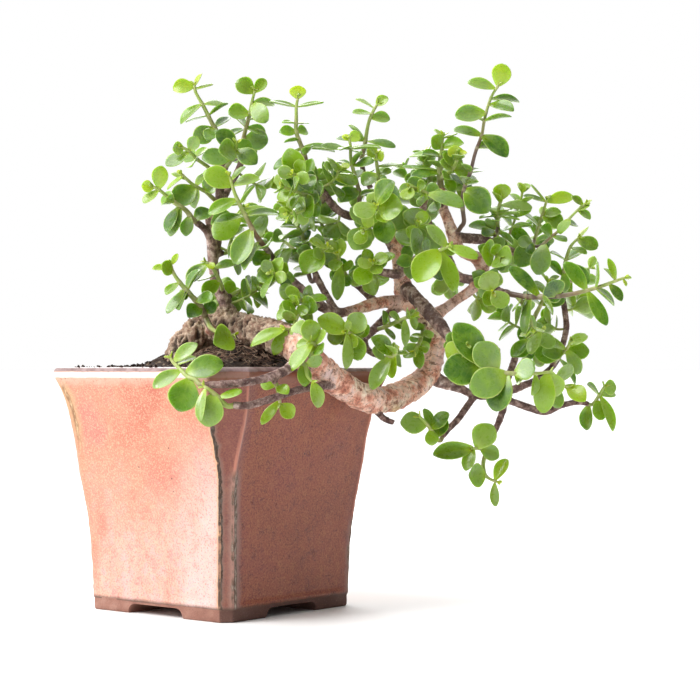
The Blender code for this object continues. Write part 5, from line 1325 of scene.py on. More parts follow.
# %% Stem material
stem_finish, tree, shader, place = started("young_stem", Subsurface_Weight=0.12,
                                           Subsurface_Radius=(0.9, 1.2, 0.4),
                                           Subsurface_Scale=1 * MM, Coat_Weight=0.12, Coat_Roughness=0.3)
stem_age, ring = attribute("stem_age"), attribute("stem_ring")
patch = noise_of(place, 130, 4)
old = plus(stem_age, times(minus(patch, 0.5), 0.5))
bark_green = ramp(old, (0.0, (0.34, 0.47, 0.08)), (0.45, (0.3, 0.38, 0.09)), (0.72, (0.25, 0.2, 0.09)),
                  (0.95, (0.13, 0.075, 0.055)))
blush = noise_of(place, 60, 3)
bark_green = over(bark_green, (blush, (0.52, 0.0), (0.75, 0.55), (0.3, 0.13, 0.07)))
bark_green = blend(times(ring, 0.45), bark_green, (0.5, 0.48, 0.25))
finished(bark_green, ramp(patch, (0.3, 0.38), (0.7, 0.55)), noise_of(place, 700, 4), 0.15 * MM, 0.5)
print("stem finish:", len(tree.nodes), "nodes")

# %% [markdown]
# ## A fine leaf
# The leaf is drawn from a small grid: its rows take the outline's width, its columns bow up or down,
# and the whole sheet is extruded into a fleshy body, thick along the middle and thin at the margin.
# That cage has few faces, and a subdivision surface rounds it, so hundreds of leaves stay cheap.

# %% The leaf's cage
LEAF_ROWS = (0.0, 0.13, 0.36, 0.62, 0.86, 1.0)
LEAF_COLUMNS = 4
FLESH = 1.9
RIM_FLESH = 0.4
CAGE_SPREAD = 1.07
FULL_LENGTH = 16
CUP, BOW, CURL = (0, 0.5), (-0.05, 0.05), (-0.08, 0.12)
NOTCH, WAVE, WAVES = (-0.06, 0.07), (-0.035, 0.035), 5
TIP_ROUND = 0.03
ABOVE, BELOW = 0.3, -0.7
LEAF_LAYERS = ("leaf_along", "leaf_across", "leaf_tone", "leaf_age", "leaf_under", "stem_age", "stem_ring")


def layer_of(mesh, name):
    """The layer of numbers with this name on a bmesh's vertices."""
    return mesh.verts.layers.float.get(name) or mesh.verts.layers.float.new(name)


def add_leaf(mesh, leaf, age, draw):
    """One fleshy leaf, added to a bmesh at its place, with its numbers on its vertices."""
    matrix, length, width = leaf
    layers = {name: layer_of(mesh, name) for name in LEAF_LAYERS}
    cup, bow, curl = draw.uniform(*CUP), draw.uniform(*BOW), draw.uniform(*CURL)
    notch, wave, phase = max(draw.uniform(*NOTCH), 0), draw.uniform(*WAVE), draw.uniform(0, 6)
    tone = draw.random()
    flesh = FLESH * MM * min(1, (length / (FULL_LENGTH * MM)) ** 0.6)
    top = bmesh.ops.create_grid(mesh, x_segments=len(LEAF_ROWS) - 1, y_segments=LEAF_COLUMNS, size=1)["verts"]
    faces = list({face for vertex in top for face in vertex.link_faces})
    made = bmesh.ops.extrude_face_region(mesh, geom=faces)["geom"]
    bottom = [part for part in made if isinstance(part, bmesh.types.BMVert)]
    for verts, side in ((top, 1), (bottom, -1)):
        for vertex in verts:
            row = round((vertex.co.x + 1) / 2 * (len(LEAF_ROWS) - 1))
            t, s = LEAF_ROWS[row], vertex.co.y
            outline = half_width(clamp(t, 0.03, 0.985))
            half = width / 2 * outline * CAGE_SPREAD
            thickness_and_rim_highlight = flesh * (1 - s * s) * min(1, 0.35 + 2.2 * t) * (1.12 - 0.5 * t) + RIM_FLESH * MM * 0.5
            rise = thickness_and_rim_highlight * (ABOVE if side > 0 else BELOW)
            rise += cup * half * s * s - LEAF_DROOP * length * t * t - curl * length * t ** 3
            rise += wave * length * math.sin(WAVES * t + phase) * s
            end = (1 - TIP_ROUND * s * s - notch * (1 - abs(s)) ** 2) if row == len(LEAF_ROWS) - 1 else 1
            vertex.co = (length * t * end, half * s + bow * length * t * t, rise)
            values = (t, s, tone, age, float(side < 0), 0, 0)
            for name, value in zip(LEAF_LAYERS, values):
                vertex[layers[name]] = value
    body = list({face for vertex in top + bottom for face in vertex.link_faces})
    bmesh.ops.recalc_face_normals(mesh, faces=body)
    for face in body:
        face.material_index = 1
    bmesh.ops.transform(mesh, matrix=matrix, verts=top + bottom)


sample = bmesh.new()
add_leaf(sample, (Matrix.Identity(4), 18 * MM, 14 * MM), 0.5, random.Random(1))
print("a leaf's cage has", len(sample.faces), "faces")
sample.free()

# %% [markdown]
# ## A fine stem
# The stem follows the smooth curve that the solid's straight stretches only sketch. It swells a little
# where each pair of leaves sits, and its foot starts inside the wood that carries it.

# %% The stem and its leaves
FINE_STEP = 1.7
STEM_SPREAD = 1.06
FOOT_SINK = 1.6
NODE_SWELL = 0.2
NODE_REACH = 0.9
OLD_AFTER = 46
PULL_MOST = 2.5
BUD_SIZES = (4.2, 2.6)
BUD_OPEN, BUD_SPREAD = (34, 20), 6
BUD_BREADTH = 0.62
BUD_SINK = 0.6


def run_lengths(run):
    """How far each point of a run is from its start, in metres."""
    lengths = [0.0]
    for a, b in zip(run, run[1:]):
        lengths.append(lengths[-1] + (b - a).xyz.length)
    return lengths


def closest(run, place):
    """The number of the point of a run that lies nearest to a place."""
    return min(range(len(run)), key=lambda i: (run[i].xyz - place).length_squared)


def nearness(at, marks, reach):
    """How near a place along a run is to the nearest of its marks: 1 at the mark, 0 far away."""
    return max((math.exp(-((at - mark) / (reach * MM)) ** 2) for mark in marks), default=0)


def add_stem(mesh, run, nodes, reach):
    """One smooth stem along a run, swollen at its nodes, added to a bmesh with its numbers."""
    lengths = run_lengths(run)
    swollen = []
    for point, at in zip(run, lengths):
        swollen.append(point.copy())
        swollen[-1].w *= STEM_SPREAD * (1 + NODE_SWELL * nearness(at, nodes, NODE_REACH))
    tube = tube_mesh(swollen, 1)
    layers = {name: layer_of(tube, name) for name in LEAF_LAYERS}
    for vertex in tube.verts:
        i = closest(run, vertex.co)
        vertex[layers["stem_ring"]] = nearness(lengths[i], nodes, NODE_REACH)
        vertex[layers["stem_age"]] = clamp((reach - lengths[i]) / (OLD_AFTER * MM))
    absorb(mesh, tube)


def pulled_on(leaf, run):
    """A leaf moved so that its base stands in the smooth stem, with its node's distance along it."""
    place, length, width = leaf
    base = place.translation
    lengths = run_lengths(run)
    i = closest(run, base)
    axis = place.to_3x3() @ Vector((1, 0, 0))
    shift = run[i].xyz + axis * run[i].w * LEAF_SINK - base
    if shift.length > PULL_MOST * MM:
        shift *= PULL_MOST * MM / shift.length
    return (Matrix.Translation(shift) @ place, length, width), lengths[i]


def buds(run, draw):
    """Two tiny pairs of leaves that close a stem's tip."""
    along = (run[-1] - run[-2]).xyz.normalized()
    level = along.orthogonal().normalized()
    for pair, size in enumerate(BUD_SIZES):
        first = draw.uniform(0, 180) + 90 * pair
        for side in (0, 180):
            opening = BUD_OPEN[pair] + draw.uniform(-BUD_SPREAD, BUD_SPREAD)
            axis, face = leaf_way(along, level, first + side, opening)
            length = size * MM * draw.uniform(0.85, 1.15)
            yield leaf_place(run[-1].xyz - along * BUD_SINK * MM, axis, face), length, length * BUD_BREADTH


def dressed(name, mesh, *finishes, smooth_shade=True, levels=0):
    """An object of a bmesh moved to the part's own frame, with its finishes and rounding."""
    bmesh.ops.translate(mesh, vec=HOME, verts=mesh.verts)
    piece = whole_object(name, mesh)
    for finish in finishes:
        piece.data.materials.append(finish)
    if smooth_shade:
        piece.data.shade_smooth()
    if levels:
        rounding = piece.modifiers.new("rounding", "SUBSURF")
        rounding.levels = rounding.render_levels = levels
    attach(piece, "root")
    return piece


def add_spray(mesh, name, spray):
    """A spray's fine stems and leaves, added to a bmesh."""
    draw = random.Random(name + "fine")
    for i, ((points, _), leaves) in enumerate(zip(spray["stems"], spray["leaves"])):
        points = [point.copy() for point in points]
        if i == 0:
            points[0] = points[0] - (spray["out"] * FOOT_SINK * MM).to_4d()
            points[0].w = points[1].w
        run = smooth(points, FINE_STEP)
        reach = run_lengths(run)[-1]
        fitted = [pulled_on(leaf, run) for leaf in leaves]
        add_stem(mesh, run, [at for _, at in fitted], reach)
        for leaf, at in fitted:
            age = clamp((reach - at) / (OLD_AFTER * MM))
            age = min(1, age * 0.75 + 0.25 * min(1, leaf[1] / (17 * MM)) + draw.uniform(-0.08, 0.08))
            add_leaf(mesh, leaf, max(age, 0), draw)
        for leaf in buds(run, draw):
            add_leaf(mesh, leaf, 0, draw)


face_total = 0
leafy = {name: {name: spray} for name, spray in sprays.items()}
leafy["inner_shoots"] = inner
for name, several in leafy.items():
    mesh = bmesh.new()
    for layer in LEAF_LAYERS:
        layer_of(mesh, layer)
    for one, spray in several.items():
        add_spray(mesh, one, spray)
    face_total += len(mesh.faces)
    piece = dressed("leafy_" + name, mesh, stem_finish, leaf_finish, levels=1)
    if name in sprays:
        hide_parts("spray_" + name)
print("sprays' cages have", face_total, "faces, so about", face_total * 8, "triangles when rounded")

# %% [markdown]
# ## The wood
# Trunk, limbs and root base grew as one piece. Tubes and lumps give the mass, and a voxel remesh melts
# them into one skin with soft forks, which no Boolean would give. The skin is then pushed in and out by
# noise: flaky ridges on the old base, scales and cracks on the trunk, faint rings on the thin limbs.

# %% The wood's mass
VOXEL = 0.93
WOOD_STEP = 1.6
RING_STEP = 6.5
RING_SWELL = 0.1
RING_REACH, RING_MARK = 0.8, 0.75
LIMB_BUMP = 0.05
THIN_LIMB = 3.2
# How reddish each limb's bark is; the others are grey-rose, and the left fork fades along its run
RED_LIMBS = {"trunk": 1.0, "left_fork": 1.0, "curl": 0.7, "root_left": 1.0}
FORK_FADES = (46, 60)
LIMB_SHIFT = 0.37


def ringed(run, draw):
    """A limb's run with swollen rings where leaves once sat, on its thin part."""
    lengths = run_lengths(run)
    rings, at = [], draw.uniform(2, RING_STEP)
    while at < lengths[-1] / MM:
        rings.append(at * MM)
        at += RING_STEP * draw.uniform(0.7, 1.35)
    made = []
    for point, at in zip(run, lengths):
        thin = max(0.0, 1 - point.w / (THIN_LIMB * MM))
        swell = RING_SWELL * nearness(at, rings, RING_REACH) * min(1, 0.25 + 2 * thin)
        made.append(point.copy())
        made[-1].w *= 1 + swell + LIMB_BUMP * noise.noise(point.xyz * 120)
    return made, rings


wood = bmesh.new()
samples = []
for number, (name, route) in enumerate(LIMBS.items()):
    run = smooth([seen(*point) for point in route], WOOD_STEP)
    run, rings = ringed(run, random.Random(name))
    for point, at in zip(run, run_lengths(run)):
        near = nearness(at, rings, RING_MARK) * clamp((THIN_LIMB * MM - point.w) / (1.2 * MM))
        red = RED_LIMBS.get(name, 0.0)
        if name == "left_fork":
            red *= clamp((FORK_FADES[1] - at / MM) / (FORK_FADES[1] - FORK_FADES[0]))
        samples.append((point, at + number * LIMB_SHIFT, near, red))
    absorb(wood, tube_mesh(run, 3))
for spray in sprays.values():
    if spray["collar"]:
        run = smooth(spray["collar"], WOOD_STEP)
        samples += [(point, 0, 0, 0) for point in run]
        absorb(wood, tube_mesh(run, 2))
for lump in root_lumps(0, 3):
    absorb(wood, lump)
mass = whole_object("wood_mass", wood)
melt = mass.modifiers.new("melt", "REMESH")
melt.mode = "VOXEL"
melt.voxel_size = VOXEL * MM
wood = baked(mass)
print("wood:", len(wood.faces), "faces after the melt")

# %% Bark relief
# The root base reaches this share past its lumps, and left of this line all thick wood counts to it
ROOT_REACH = 1.22
ROOT_FADE = 0.22
ROOT_SIDE, ROOT_SIDE_FADE = 46, 14
FULL_GIRTH = 12
OLD_FROM, OLD_OVER = 2.5, 4
RUNS_NEAR, RUN_PULL = 22, 1.06
# Each scar's place (across, height, depth) and reach
SCARS = ((107.5, 125.2, -18.5, 5.2), (161.7, 197.5, 14, 3.6), (-7, 245, -12, 4), (72, 176, -44, 4),
         (118, 150, -14, 3))
WOOD_LAYERS = ("wood_girth", "wood_ring", "wood_root", "wood_along", "wood_scar", "wood_pit_shade", "wood_red")


def ridges(place, octaves):
    """Sharp ridges at a place, about 0 in the middle."""
    return noise.ridged_multi_fractal(place, 0.8, 2.1, octaves, 1.0, 2.0) - 1.2


bmesh.ops.smooth_vert(wood, verts=wood.verts, factor=0.5, use_axis_x=True, use_axis_y=True, use_axis_z=True)
wood.normal_update()
tree_of_runs = KDTree(len(samples))
for i, sample_point in enumerate(samples):
    tree_of_runs.insert(sample_point[0].xyz, i)
tree_of_runs.balance()
lump_rooms = []
for across, height, depth, wide, tall, deep, turn in ROOT_LUMPS:
    size = Matrix.Diagonal((wide * MM, deep * MM, tall * MM, 1))
    lump_rooms.append((Matrix.Translation(seen(across, height, depth)) @ size).inverted())
scar_places = [(seen(*scar[:3]), scar[3] * MM) for scar in SCARS]
layers = {name: layer_of(wood, name) for name in WOOD_LAYERS}
moves = []
for vertex in wood.verts:
    co = vertex.co
    near = tree_of_runs.find_n(co, RUNS_NEAR)
    index = min(near, key=lambda one: one[2] - RUN_PULL * samples[one[1]][0].w)[1]
    point, along_wood, ring_near, red = samples[index]
    girth = min(point.w / (FULL_GIRTH * MM), 1)
    root = min((room @ co).length for room in lump_rooms)
    root = clamp((ROOT_REACH - root) / ROOT_FADE)
    root = max(root, clamp((ROOT_SIDE - shown(co).x / MM) / ROOT_SIDE_FADE) * clamp(girth * 3 - 1.2))
    old = max(root, clamp((point.w / MM - OLD_FROM) / OLD_OVER))
    scar = max(max(0, 1 - (co - spot).length / reach) for spot, reach in scar_places)
    p = co / MM
    flutes = ridges(Vector((p.x * 0.27, p.y * 0.27, p.z * 0.06)), 4)
    flakes = ridges(p * 0.33, 3)
    soft = noise.fractal(p * 0.1, 0.9, 2.1, 3)
    folds = noise.noise(Vector((along_wood / MM * 0.45, p.x * 0.06, p.z * 0.06)))
    grit = noise.fractal(p * 0.62, 0.8, 2.0, 3)
    # Soft swells, folds and flakes on old wood, deep flutes on the root base, and grit all over
    push = old * (0.9 * soft + 0.5 * folds + 0.34 * flakes)
    push += root * (2.1 * flutes + 0.2 * flakes) + 0.2 * grit
    push += 0.6 * min(1, scar * 2) * (1.2 - 2 * scar)
    # Painted shade: how deep the bark is pushed in here, by its flakes and flutes, which darkens its colour
    pit_shade = clamp(0.5 * old * (-flakes - 0.15) + root * (-flutes * 2.4 - 0.1))
    values = (girth, ring_near * (1 - old), root, along_wood / MM, min(1, scar * 2.2), pit_shade, red)
    for layer, value in zip(WOOD_LAYERS, values):
        vertex[layers[layer]] = value
    moves.append(vertex.normal * push * MM)
for vertex, move in zip(wood.verts, moves):
    vertex.co += move
print("bark relief on", len(wood.verts), "points")

# %% [markdown]
# ## The bark's finish
# The trunk's bark is a warm red-brown, grainy, with cream flakes and dark specks, and the old base is a
# paler, deeply furrowed beige. The limbs turn grey-rose, dark in their furrows, and the thin twigs dark
# purple-brown with a pale ring at each old leaf scar. The dark in the pits and furrows that the relief
# pushed in is painted shade, and so are the dark creases across the reddish bark. The numbers laid on
# the vertices say which is which.

# %% Bark material
bark_finish, tree, shader, place = started("bark", Specular_IOR_Level=0.3)
girth, ring, root, along, scar, pit_shade, red = (attribute(name) for name in WOOD_LAYERS)
broad, coarse = noise_of(place, 48, 4, 0.6), noise_of(place, 120, 5, 0.62)
medium, grain = noise_of(place, 260, 5, 0.68), noise_of(place, 880, 4, 0.75)
cream, specks = noise_of(place, 340, 5, 0.66), noise_of(place, 470, 4, 0.66)
twig = ramp(medium, (0.34, (0.035, 0.018, 0.017)), (0.48, (0.11, 0.055, 0.048)), (0.6, (0.27, 0.16, 0.14)),
            (0.7, (0.6, 0.47, 0.43)))
limb = ramp(medium, (0.32, (0.1, 0.055, 0.05)), (0.45, (0.3, 0.18, 0.15)), (0.56, (0.58, 0.41, 0.35)),
            (0.68, (0.85, 0.72, 0.68)))
limb = over(limb, (coarse, (0.44, 0.85), (0.54, 0.0), (0.1, 0.055, 0.05)))
trunk = ramp(coarse, (0.34, (0.42, 0.14, 0.09)), (0.43, (0.7, 0.31, 0.21)), (0.54, (0.92, 0.6, 0.46)),
             (0.66, (0.8, 0.58, 0.54)))
flaky = ramp(medium, (0.34, (0.3, 0.15, 0.09)), (0.46, (0.76, 0.52, 0.36)), (0.56, (0.95, 0.8, 0.64)))
trunk = over(
    trunk,
    (broad, (0.38, 0.75), (0.46, 0.0), (0.6, 0.38, 0.33)),
    (broad, (0.56, 0.0), (0.62, 0.85), flaky),
    (medium, (0.38, 0.75), (0.44, 0.0), (0.24, 0.09, 0.06)),
    (cream, (0.6, 0.0), (0.66, 0.6), (0.95, 0.8, 0.66)),
    (specks, (0.34, 0.8), (0.39, 0.0), (0.16, 0.07, 0.05)),
)
# Painted shade: dark creases across the reddish bark, in patches
crease_shade = sum_of("PINGPONG", plus(along, times(coarse, 9.0)), 3.1)
crease_shade = times(ramp(crease_shade, (0.1, 0.8), (0.4, 0.0)), ramp(broad, (0.46, 1.0), (0.56, 0.1)))
trunk = blend(crease_shade, trunk, (0.16, 0.07, 0.045))
base = ramp(medium, (0.3, (0.07, 0.042, 0.028)), (0.43, (0.25, 0.165, 0.11)), (0.55, (0.5, 0.38, 0.27)),
            (0.68, (0.78, 0.66, 0.52)))
base = over(base, (coarse, (0.38, 0.75), (0.5, 0.0), (0.2, 0.11, 0.075)))
skin = blend(ramp(girth, (0.16, 0.0), (0.28, 1.0)), twig, limb)
skin = blend(red, skin, trunk)
skin = blend(times(root, 0.9), skin, base)
calm = scaled(red, -0.4, 1.0)
skin = blend(times(calm, ramp(grain, (0.36, 0.4), (0.44, 0.0))), skin, (0.08, 0.04, 0.03))
skin = over(skin, (grain, (0.58, 0.0), (0.68, 0.35), (0.85, 0.72, 0.6)))
skin = blend(times(ring, ramp(coarse, (0.4, 0.05), (0.6, 0.5))), skin, (0.5, 0.38, 0.31))
skin = blend(times(scar, 0.8), skin, ramp(cream, (0.4, (0.5, 0.3, 0.14)), (0.6, (0.8, 0.6, 0.34))))
# Painted shade: the bark turns nearly black in its pits and furrows
skin = blend(times(pit_shade, 0.9), skin, (0.03, 0.018, 0.013))
lift = times(plus(times(medium, 1.5), grain), calm)
finished(skin, ramp(medium, (0.3, 0.7), (0.7, 0.88)), lift, 0.7 * MM, 0.9)
wood_faces = len(wood.faces)
trunk_piece = dressed("wood", wood, bark_finish)
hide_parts("trunk")
print("wood:", wood_faces * 2, "triangles,", len(tree.nodes), "nodes in its finish")

# %% [markdown]
# ## The fine pot
# The fine pot is one closed skin: a ring of points pulled up from the foot, over the lip and down
# inside to the floor. Each ring has extra points near the corners, where the real pot has two raised
# ridges beside each flat corner panel, and the glaze thickens in a roll above the bare foot.

# %% The pot's rings
SIDE_PARTS = (0, 0.8, 1.6, 2.6, 4.2, 7, 12)
SIDE_MIDDLE = 9
PANEL_PARTS = (0.08, 0.17, 0.3, 0.5, 0.7, 0.83, 0.92)
RIDGE = 0.75
RIDGE_COVE = 0.35
RIDGE_WIDE = 1.05
COVE_WIDE, COVE_PANEL = 4.5, 1.6
DIAGONAL, CORNER_LEAN = 1.414, 0.414
PANEL_OUT = Vector((0.707, 0.707, 0))
GLAZE_EDGE = 8
# Each profile runs by height, and how far the skin stands proud of the plain wall there
LIP_PROFILE = ((144.2, 0.35), (145.4, 0.7), (146.6, 0.85), (147.6, 0.75), (148.5, 0.3), (149.2, -0.45),
               (149.7, -1.4), (149.95, -2.4), (150, -3.6), (149.9, -4.9), (149.4, -6), (148.4, -6.7),
               (147, -WALL))
FOOT_PROFILE = ((0, -1.3), (0.4, -0.6), (1.3, -0.1), (3.5, 0), (6.8, -0.1), (7.6, 0.15), (8.6, 0.6),
                (10.2, 0.45), (12, 0.1), (14, 0))
WALL_FROM = FOOT_PROFILE[-1][0]
WALL_LEVELS = 40
# The glaze's lower edge wanders: how far each wave takes it, and how often the wave comes
EDGE_WAVES = ((0.8, 45), (0.35, 200))
INSIDE_HEIGHTS = (140, 124, 100, 80, 58, 40, 25)
INSIDE_FOOT, INSIDE_ROUND = 20, 2
WOBBLE = 0.25


def ridge_at(gap, place):
    """How far the glaze ridge lifts the wall at a distance from a panel's edge, lumpy along its run."""
    height = place.z
    fade = clamp((height - GLAZE_EDGE - 1) / 5) * clamp((140 - height) / 22, 0.25)
    lumps = 0.75 + 0.5 * noise.noise(place * 0.16) + 0.3 * noise.noise(place * 0.5)
    cove = COVE_WIDE if gap > 0 else COVE_PANEL
    crest = lumps * RIDGE * math.exp(-(gap / RIDGE_WIDE) ** 2)
    return fade * (crest + RIDGE_COVE * math.exp(-(gap / cove) ** 2))


def fine_ring(height, proud, lift=None):
    """The fine pot's section at a height, its ridges and its hand-made wobble included, in order."""
    half = pot_half(height) + proud
    chamfer = max(pot_chamfer(height) + proud * CHAMFER_INSET, 1)
    reach = half - chamfer
    inner = 2 * (reach - SIDE_PARTS[-1])
    places = [gap - reach for gap in SIDE_PARTS]
    places += [inner * (i + 1) / (SIDE_MIDDLE + 1) - inner / 2 for i in range(SIDE_MIDDLE)]
    places += [reach - gap for gap in reversed(SIDE_PARTS)]
    ring = []
    for quarter in range(4):
        side = Matrix.Rotation(math.radians(90 * quarter - POT_TURN), 3, "Z")
        for along in places:
            gap = reach - abs(along)
            out = Vector((1, 0 if gap > 0.01 else math.copysign(CORNER_LEAN, along), 0)).normalized()
            ring.append((side @ Vector((half, along, height)), side @ out, gap))
        for part in PANEL_PARTS:
            gap = -min(part, 1 - part) * chamfer * DIAGONAL
            ring.append((side @ Vector((half - chamfer * part, reach + chamfer * part, height)),
                         side @ PANEL_OUT, gap))
    made = []
    for place, out, gap in ring:
        rise = ridge_at(gap, place) if proud > -1 else 0
        rise += WOBBLE * noise.noise(place * 0.035) + 0.3 * WOBBLE * noise.noise(place * 0.11)
        made.append((place + out * rise) * MM)
        if lift is not None:
            made[-1].z = lift * MM
    return made


rings = []
for height, proud in FOOT_PROFILE:
    ring = fine_ring(height, proud)
    if 6 < height < 9:
        for place in ring:
            place.z += sum(size * noise.noise(place * often) for size, often in EDGE_WAVES) * MM
    rings.append(ring)
for i in range(1, WALL_LEVELS + 1):
    rings.append(fine_ring(WALL_FROM + (LIP_BASE - WALL_FROM) * i / WALL_LEVELS, 0))
rings += [fine_ring(height, proud) for height, proud in LIP_PROFILE]
rings += [fine_ring(height, -WALL) for height in INSIDE_HEIGHTS]
rings.append(fine_ring(INSIDE_FOOT, -WALL, FLOOR_HEIGHT + INSIDE_ROUND))
rings.append(fine_ring(INSIDE_FOOT, -WALL - INSIDE_ROUND, FLOOR_HEIGHT))
pot_mesh = stacked(rings)
print("pot rings:", len(rings), "of", len(rings[0]), "points,", len(pot_mesh.faces), "faces")

# %% [markdown]
# ## Feet and drain hole
# The pot stands on its corners: a gap with rounded shoulders is cut through the foot both ways, and the
# floor has a drain hole. These are true holes, so they are cut with a Boolean, which is applied at once.

# %% Cutting the foot
uncut = whole_object("pot_uncut", pot_mesh)
cutters = []
for quarter in range(2):
    gap = bmesh.new()
    turn = Matrix.Rotation(math.radians(90 * quarter - POT_TURN), 4, "Z")
    size = Matrix.Diagonal((200 * MM, FOOT_GAP * MM, 2 * FOOT_HEIGHT * MM, 1))
    bmesh.ops.create_cube(gap, size=1, matrix=turn @ size)
    long_edges = [edge for edge in gap.edges if edge.calc_length() > 100 * MM]
    bmesh.ops.bevel(gap, geom=long_edges, offset=FOOT_ROUND * MM, segments=6, affect="EDGES", profile=0.5,
                    material=-1)
    cutters.append(whole_object(f"foot_gap_{quarter}", gap))
hole = bmesh.new()
bmesh.ops.create_cone(hole, cap_ends=True, segments=48, radius1=DRAIN_RADIUS * MM, radius2=DRAIN_RADIUS * MM,
                      depth=60 * MM)
cutters.append(whole_object("drain_hole", hole))
for cutter in cutters:
    cut = uncut.modifiers.new("cut", "BOOLEAN")
    cut.operation = "DIFFERENCE"
    cut.solver = "EXACT"
    cut.object = cutter
pot_mesh = baked(uncut, *cutters)
print("pot after the cuts:", len(pot_mesh.faces), "faces")

# %% [markdown]
# ## Numbers for the glaze
# The glaze follows the pot's own shape, so the shape tells it where it is. Each vertex gets its
# distance from the nearest panel edge, and how that ridge's glaze has crawled: how high up, how wide,
# and whether it broke to black or to gold. Two more numbers carry painted light: how lit its side is,
# which paints it salmon when lit and brown when shaded, and a painted highlight near the lit corner.

# %% The glaze's numbers
# For each ridge, by quarter turn and side: how high its crawl reaches, where its middle lies, its
# half width and how golden it is
CRAWLS = {
    (3, 1): (124, -0.9, 1.05, 0.12), (3, -1): (150, 3.4, 2.1, 1.0),
    (0, 1): (60, -0.4, 1.3, 0.3), (0, -1): (92, 1.2, 2.0, 0.25),
    (1, -1): (90, 0.2, 1.4, 0.2), (1, 1): (64, -0.4, 1.2, 0.6),
    (2, -1): (110, 0.6, 1.3, 0.2), (2, 1): (70, 0.3, 1.6, 0.5),
}
# Painted light and shade: how lit each quarter's side is, from the shaded brown side at 0 to the lit salmon
# side at 1, and how much more a corner panel gets
SIDE_LIGHT = (0.0, 0.4, 0.55, 1.0)
PANEL_LIGHT = 0.1
# Painted highlight near the lit front corner: where across the side it peaks, its width, its room from the
# panel edge, and the height it fades out below
HIGHLIGHT_AT, HIGHLIGHT_WIDE, HIGHLIGHT_ROOM = 0.86, 0.36, 3
HIGHLIGHT_TOP, HIGHLIGHT_FADE = 122, 70
CRAWL_FADE = 9
GOLD_FROM, GOLD_FADE, GOLD_LEAST = 96, 16, 0.12
CLAY_BELOW, CLAY_ABOVE = 7.1, 149.5
unturn = Matrix.Rotation(math.radians(POT_TURN), 3, "Z")
POT_LAYERS = ("pot_gap", "pot_crawl", "pot_shift", "pot_band", "pot_gold", "pot_warm", "pot_bloom")
layers = {name: layer_of(pot_mesh, name) for name in POT_LAYERS}
for vertex in pot_mesh.verts:
    flat = unturn @ vertex.co / MM
    quarter = round(math.degrees(math.atan2(flat.y, flat.x)) / 90) % 4
    side = Matrix.Rotation(math.radians(-90 * quarter), 3, "Z") @ flat
    half = pot_half(flat.z)
    reach = half - pot_chamfer(flat.z)
    past = abs(side.y) - reach
    gap = -past if past < 0 else -min(past, abs(half - side.x)) * DIAGONAL
    top, shift, band, gold = CRAWLS[quarter, 1 if side.y > 0 else -1]
    start = clamp((top - flat.z) / CRAWL_FADE)
    if gold == 1.0:
        start *= clamp((flat.z - GOLD_FROM) / GOLD_FADE, GOLD_LEAST)
    # Painted light: a side takes its quarter's share, a corner panel the lesser share of its two sides and a
    # little more
    beside = SIDE_LIGHT[(quarter + (1 if side.y > 0 else -1)) % 4]
    lit_share = SIDE_LIGHT[quarter] if gap > -0.4 else min(SIDE_LIGHT[quarter], beside) + PANEL_LIGHT
    # Painted highlight: strongest near the lit front corner, fading upwards
    drift = (side.y / reach - HIGHLIGHT_AT) / HIGHLIGHT_WIDE
    painted_sheen = math.exp(-drift * drift) * clamp((HIGHLIGHT_TOP - flat.z) / HIGHLIGHT_FADE)
    painted_sheen *= clamp(gap / HIGHLIGHT_ROOM) * SIDE_LIGHT[quarter]
    for name, value in zip(POT_LAYERS, (gap, start, shift, band, gold, lit_share, painted_sheen)):
        vertex[layers[name]] = value
for face in pot_mesh.faces:
    middle = face.calc_center_median() / MM
    flat = unturn @ middle
    half, chamfer = pot_half(flat.z), pot_chamfer(flat.z)
    inside = max(abs(flat.x), abs(flat.y)) < half - 3.4 and abs(flat.x) + abs(flat.y) < 2 * half - chamfer - 5
    lowest = min(vertex.co.z for vertex in face.verts) / MM
    face.material_index = 1 if (inside and middle.z < CLAY_ABOVE) or lowest < CLAY_BELOW else 0
print("bare clay faces:", sum(face.material_index for face in pot_mesh.faces))

# %% [markdown]
# ## The glaze
# The glaze is a copper red. Painted light and shade turn it salmon and pink on the lit sides and brown
# on the shaded ones, a painted highlight pales it near the lit front corner, and a painted sheen turns it
# pink low down on the lit sides. Fine gold, cream and dark grains fill it, under a glassy coat. It runs
# thin over the ridges and there it breaks to black, silver and gold, and it pools in a roll above the
# bare foot. Under the rim it thins to a cream band with brown specks, a painted highlight whitens the
# rounded edge there on the lit sides, and the rim's top is a dull grey-purple, a painted reflection.

# %% Glaze material
glaze_finish, tree, shader, place = started("copper_glaze", Coat_Weight=0.22, Coat_Roughness=0.16,
                                            Specular_IOR_Level=0.2)
gap, crawl, shift, band, gold, lit_side, corner_highlight = (attribute(name) for name in POT_LAYERS)
up = times(put("SeparateXYZ", Vector=place).outputs["Z"], 1 / MM)
rise = times(up, 0.01)
cloud, mottle, grain = noise_of(place, 22, 3), noise_of(place, 130, 5, 0.6), noise_of(place, 950, 3, 0.75)
streaky = put("Mapping", Vector=place, Scale=(1.0, 1.0, 0.3)).outputs[0]
streak = noise_of(streaky, 45, 4, 0.6)
brown = ramp(cloud, (0.32, (0.22, 0.052, 0.03)), (0.5, (0.28, 0.072, 0.039)), (0.66, (0.25, 0.06, 0.043)))
salmon = ramp(cloud, (0.34, (0.5, 0.14, 0.085)), (0.44, (0.55, 0.2, 0.125)), (0.54, (0.58, 0.25, 0.155)),
              (0.66, (0.56, 0.2, 0.15)))
# Painted light and shade: salmon on the lit sides, brown on the shaded ones; most marks below also take a lit
# or a shaded colour by this share
glaze = blend(lit_side, brown, salmon)
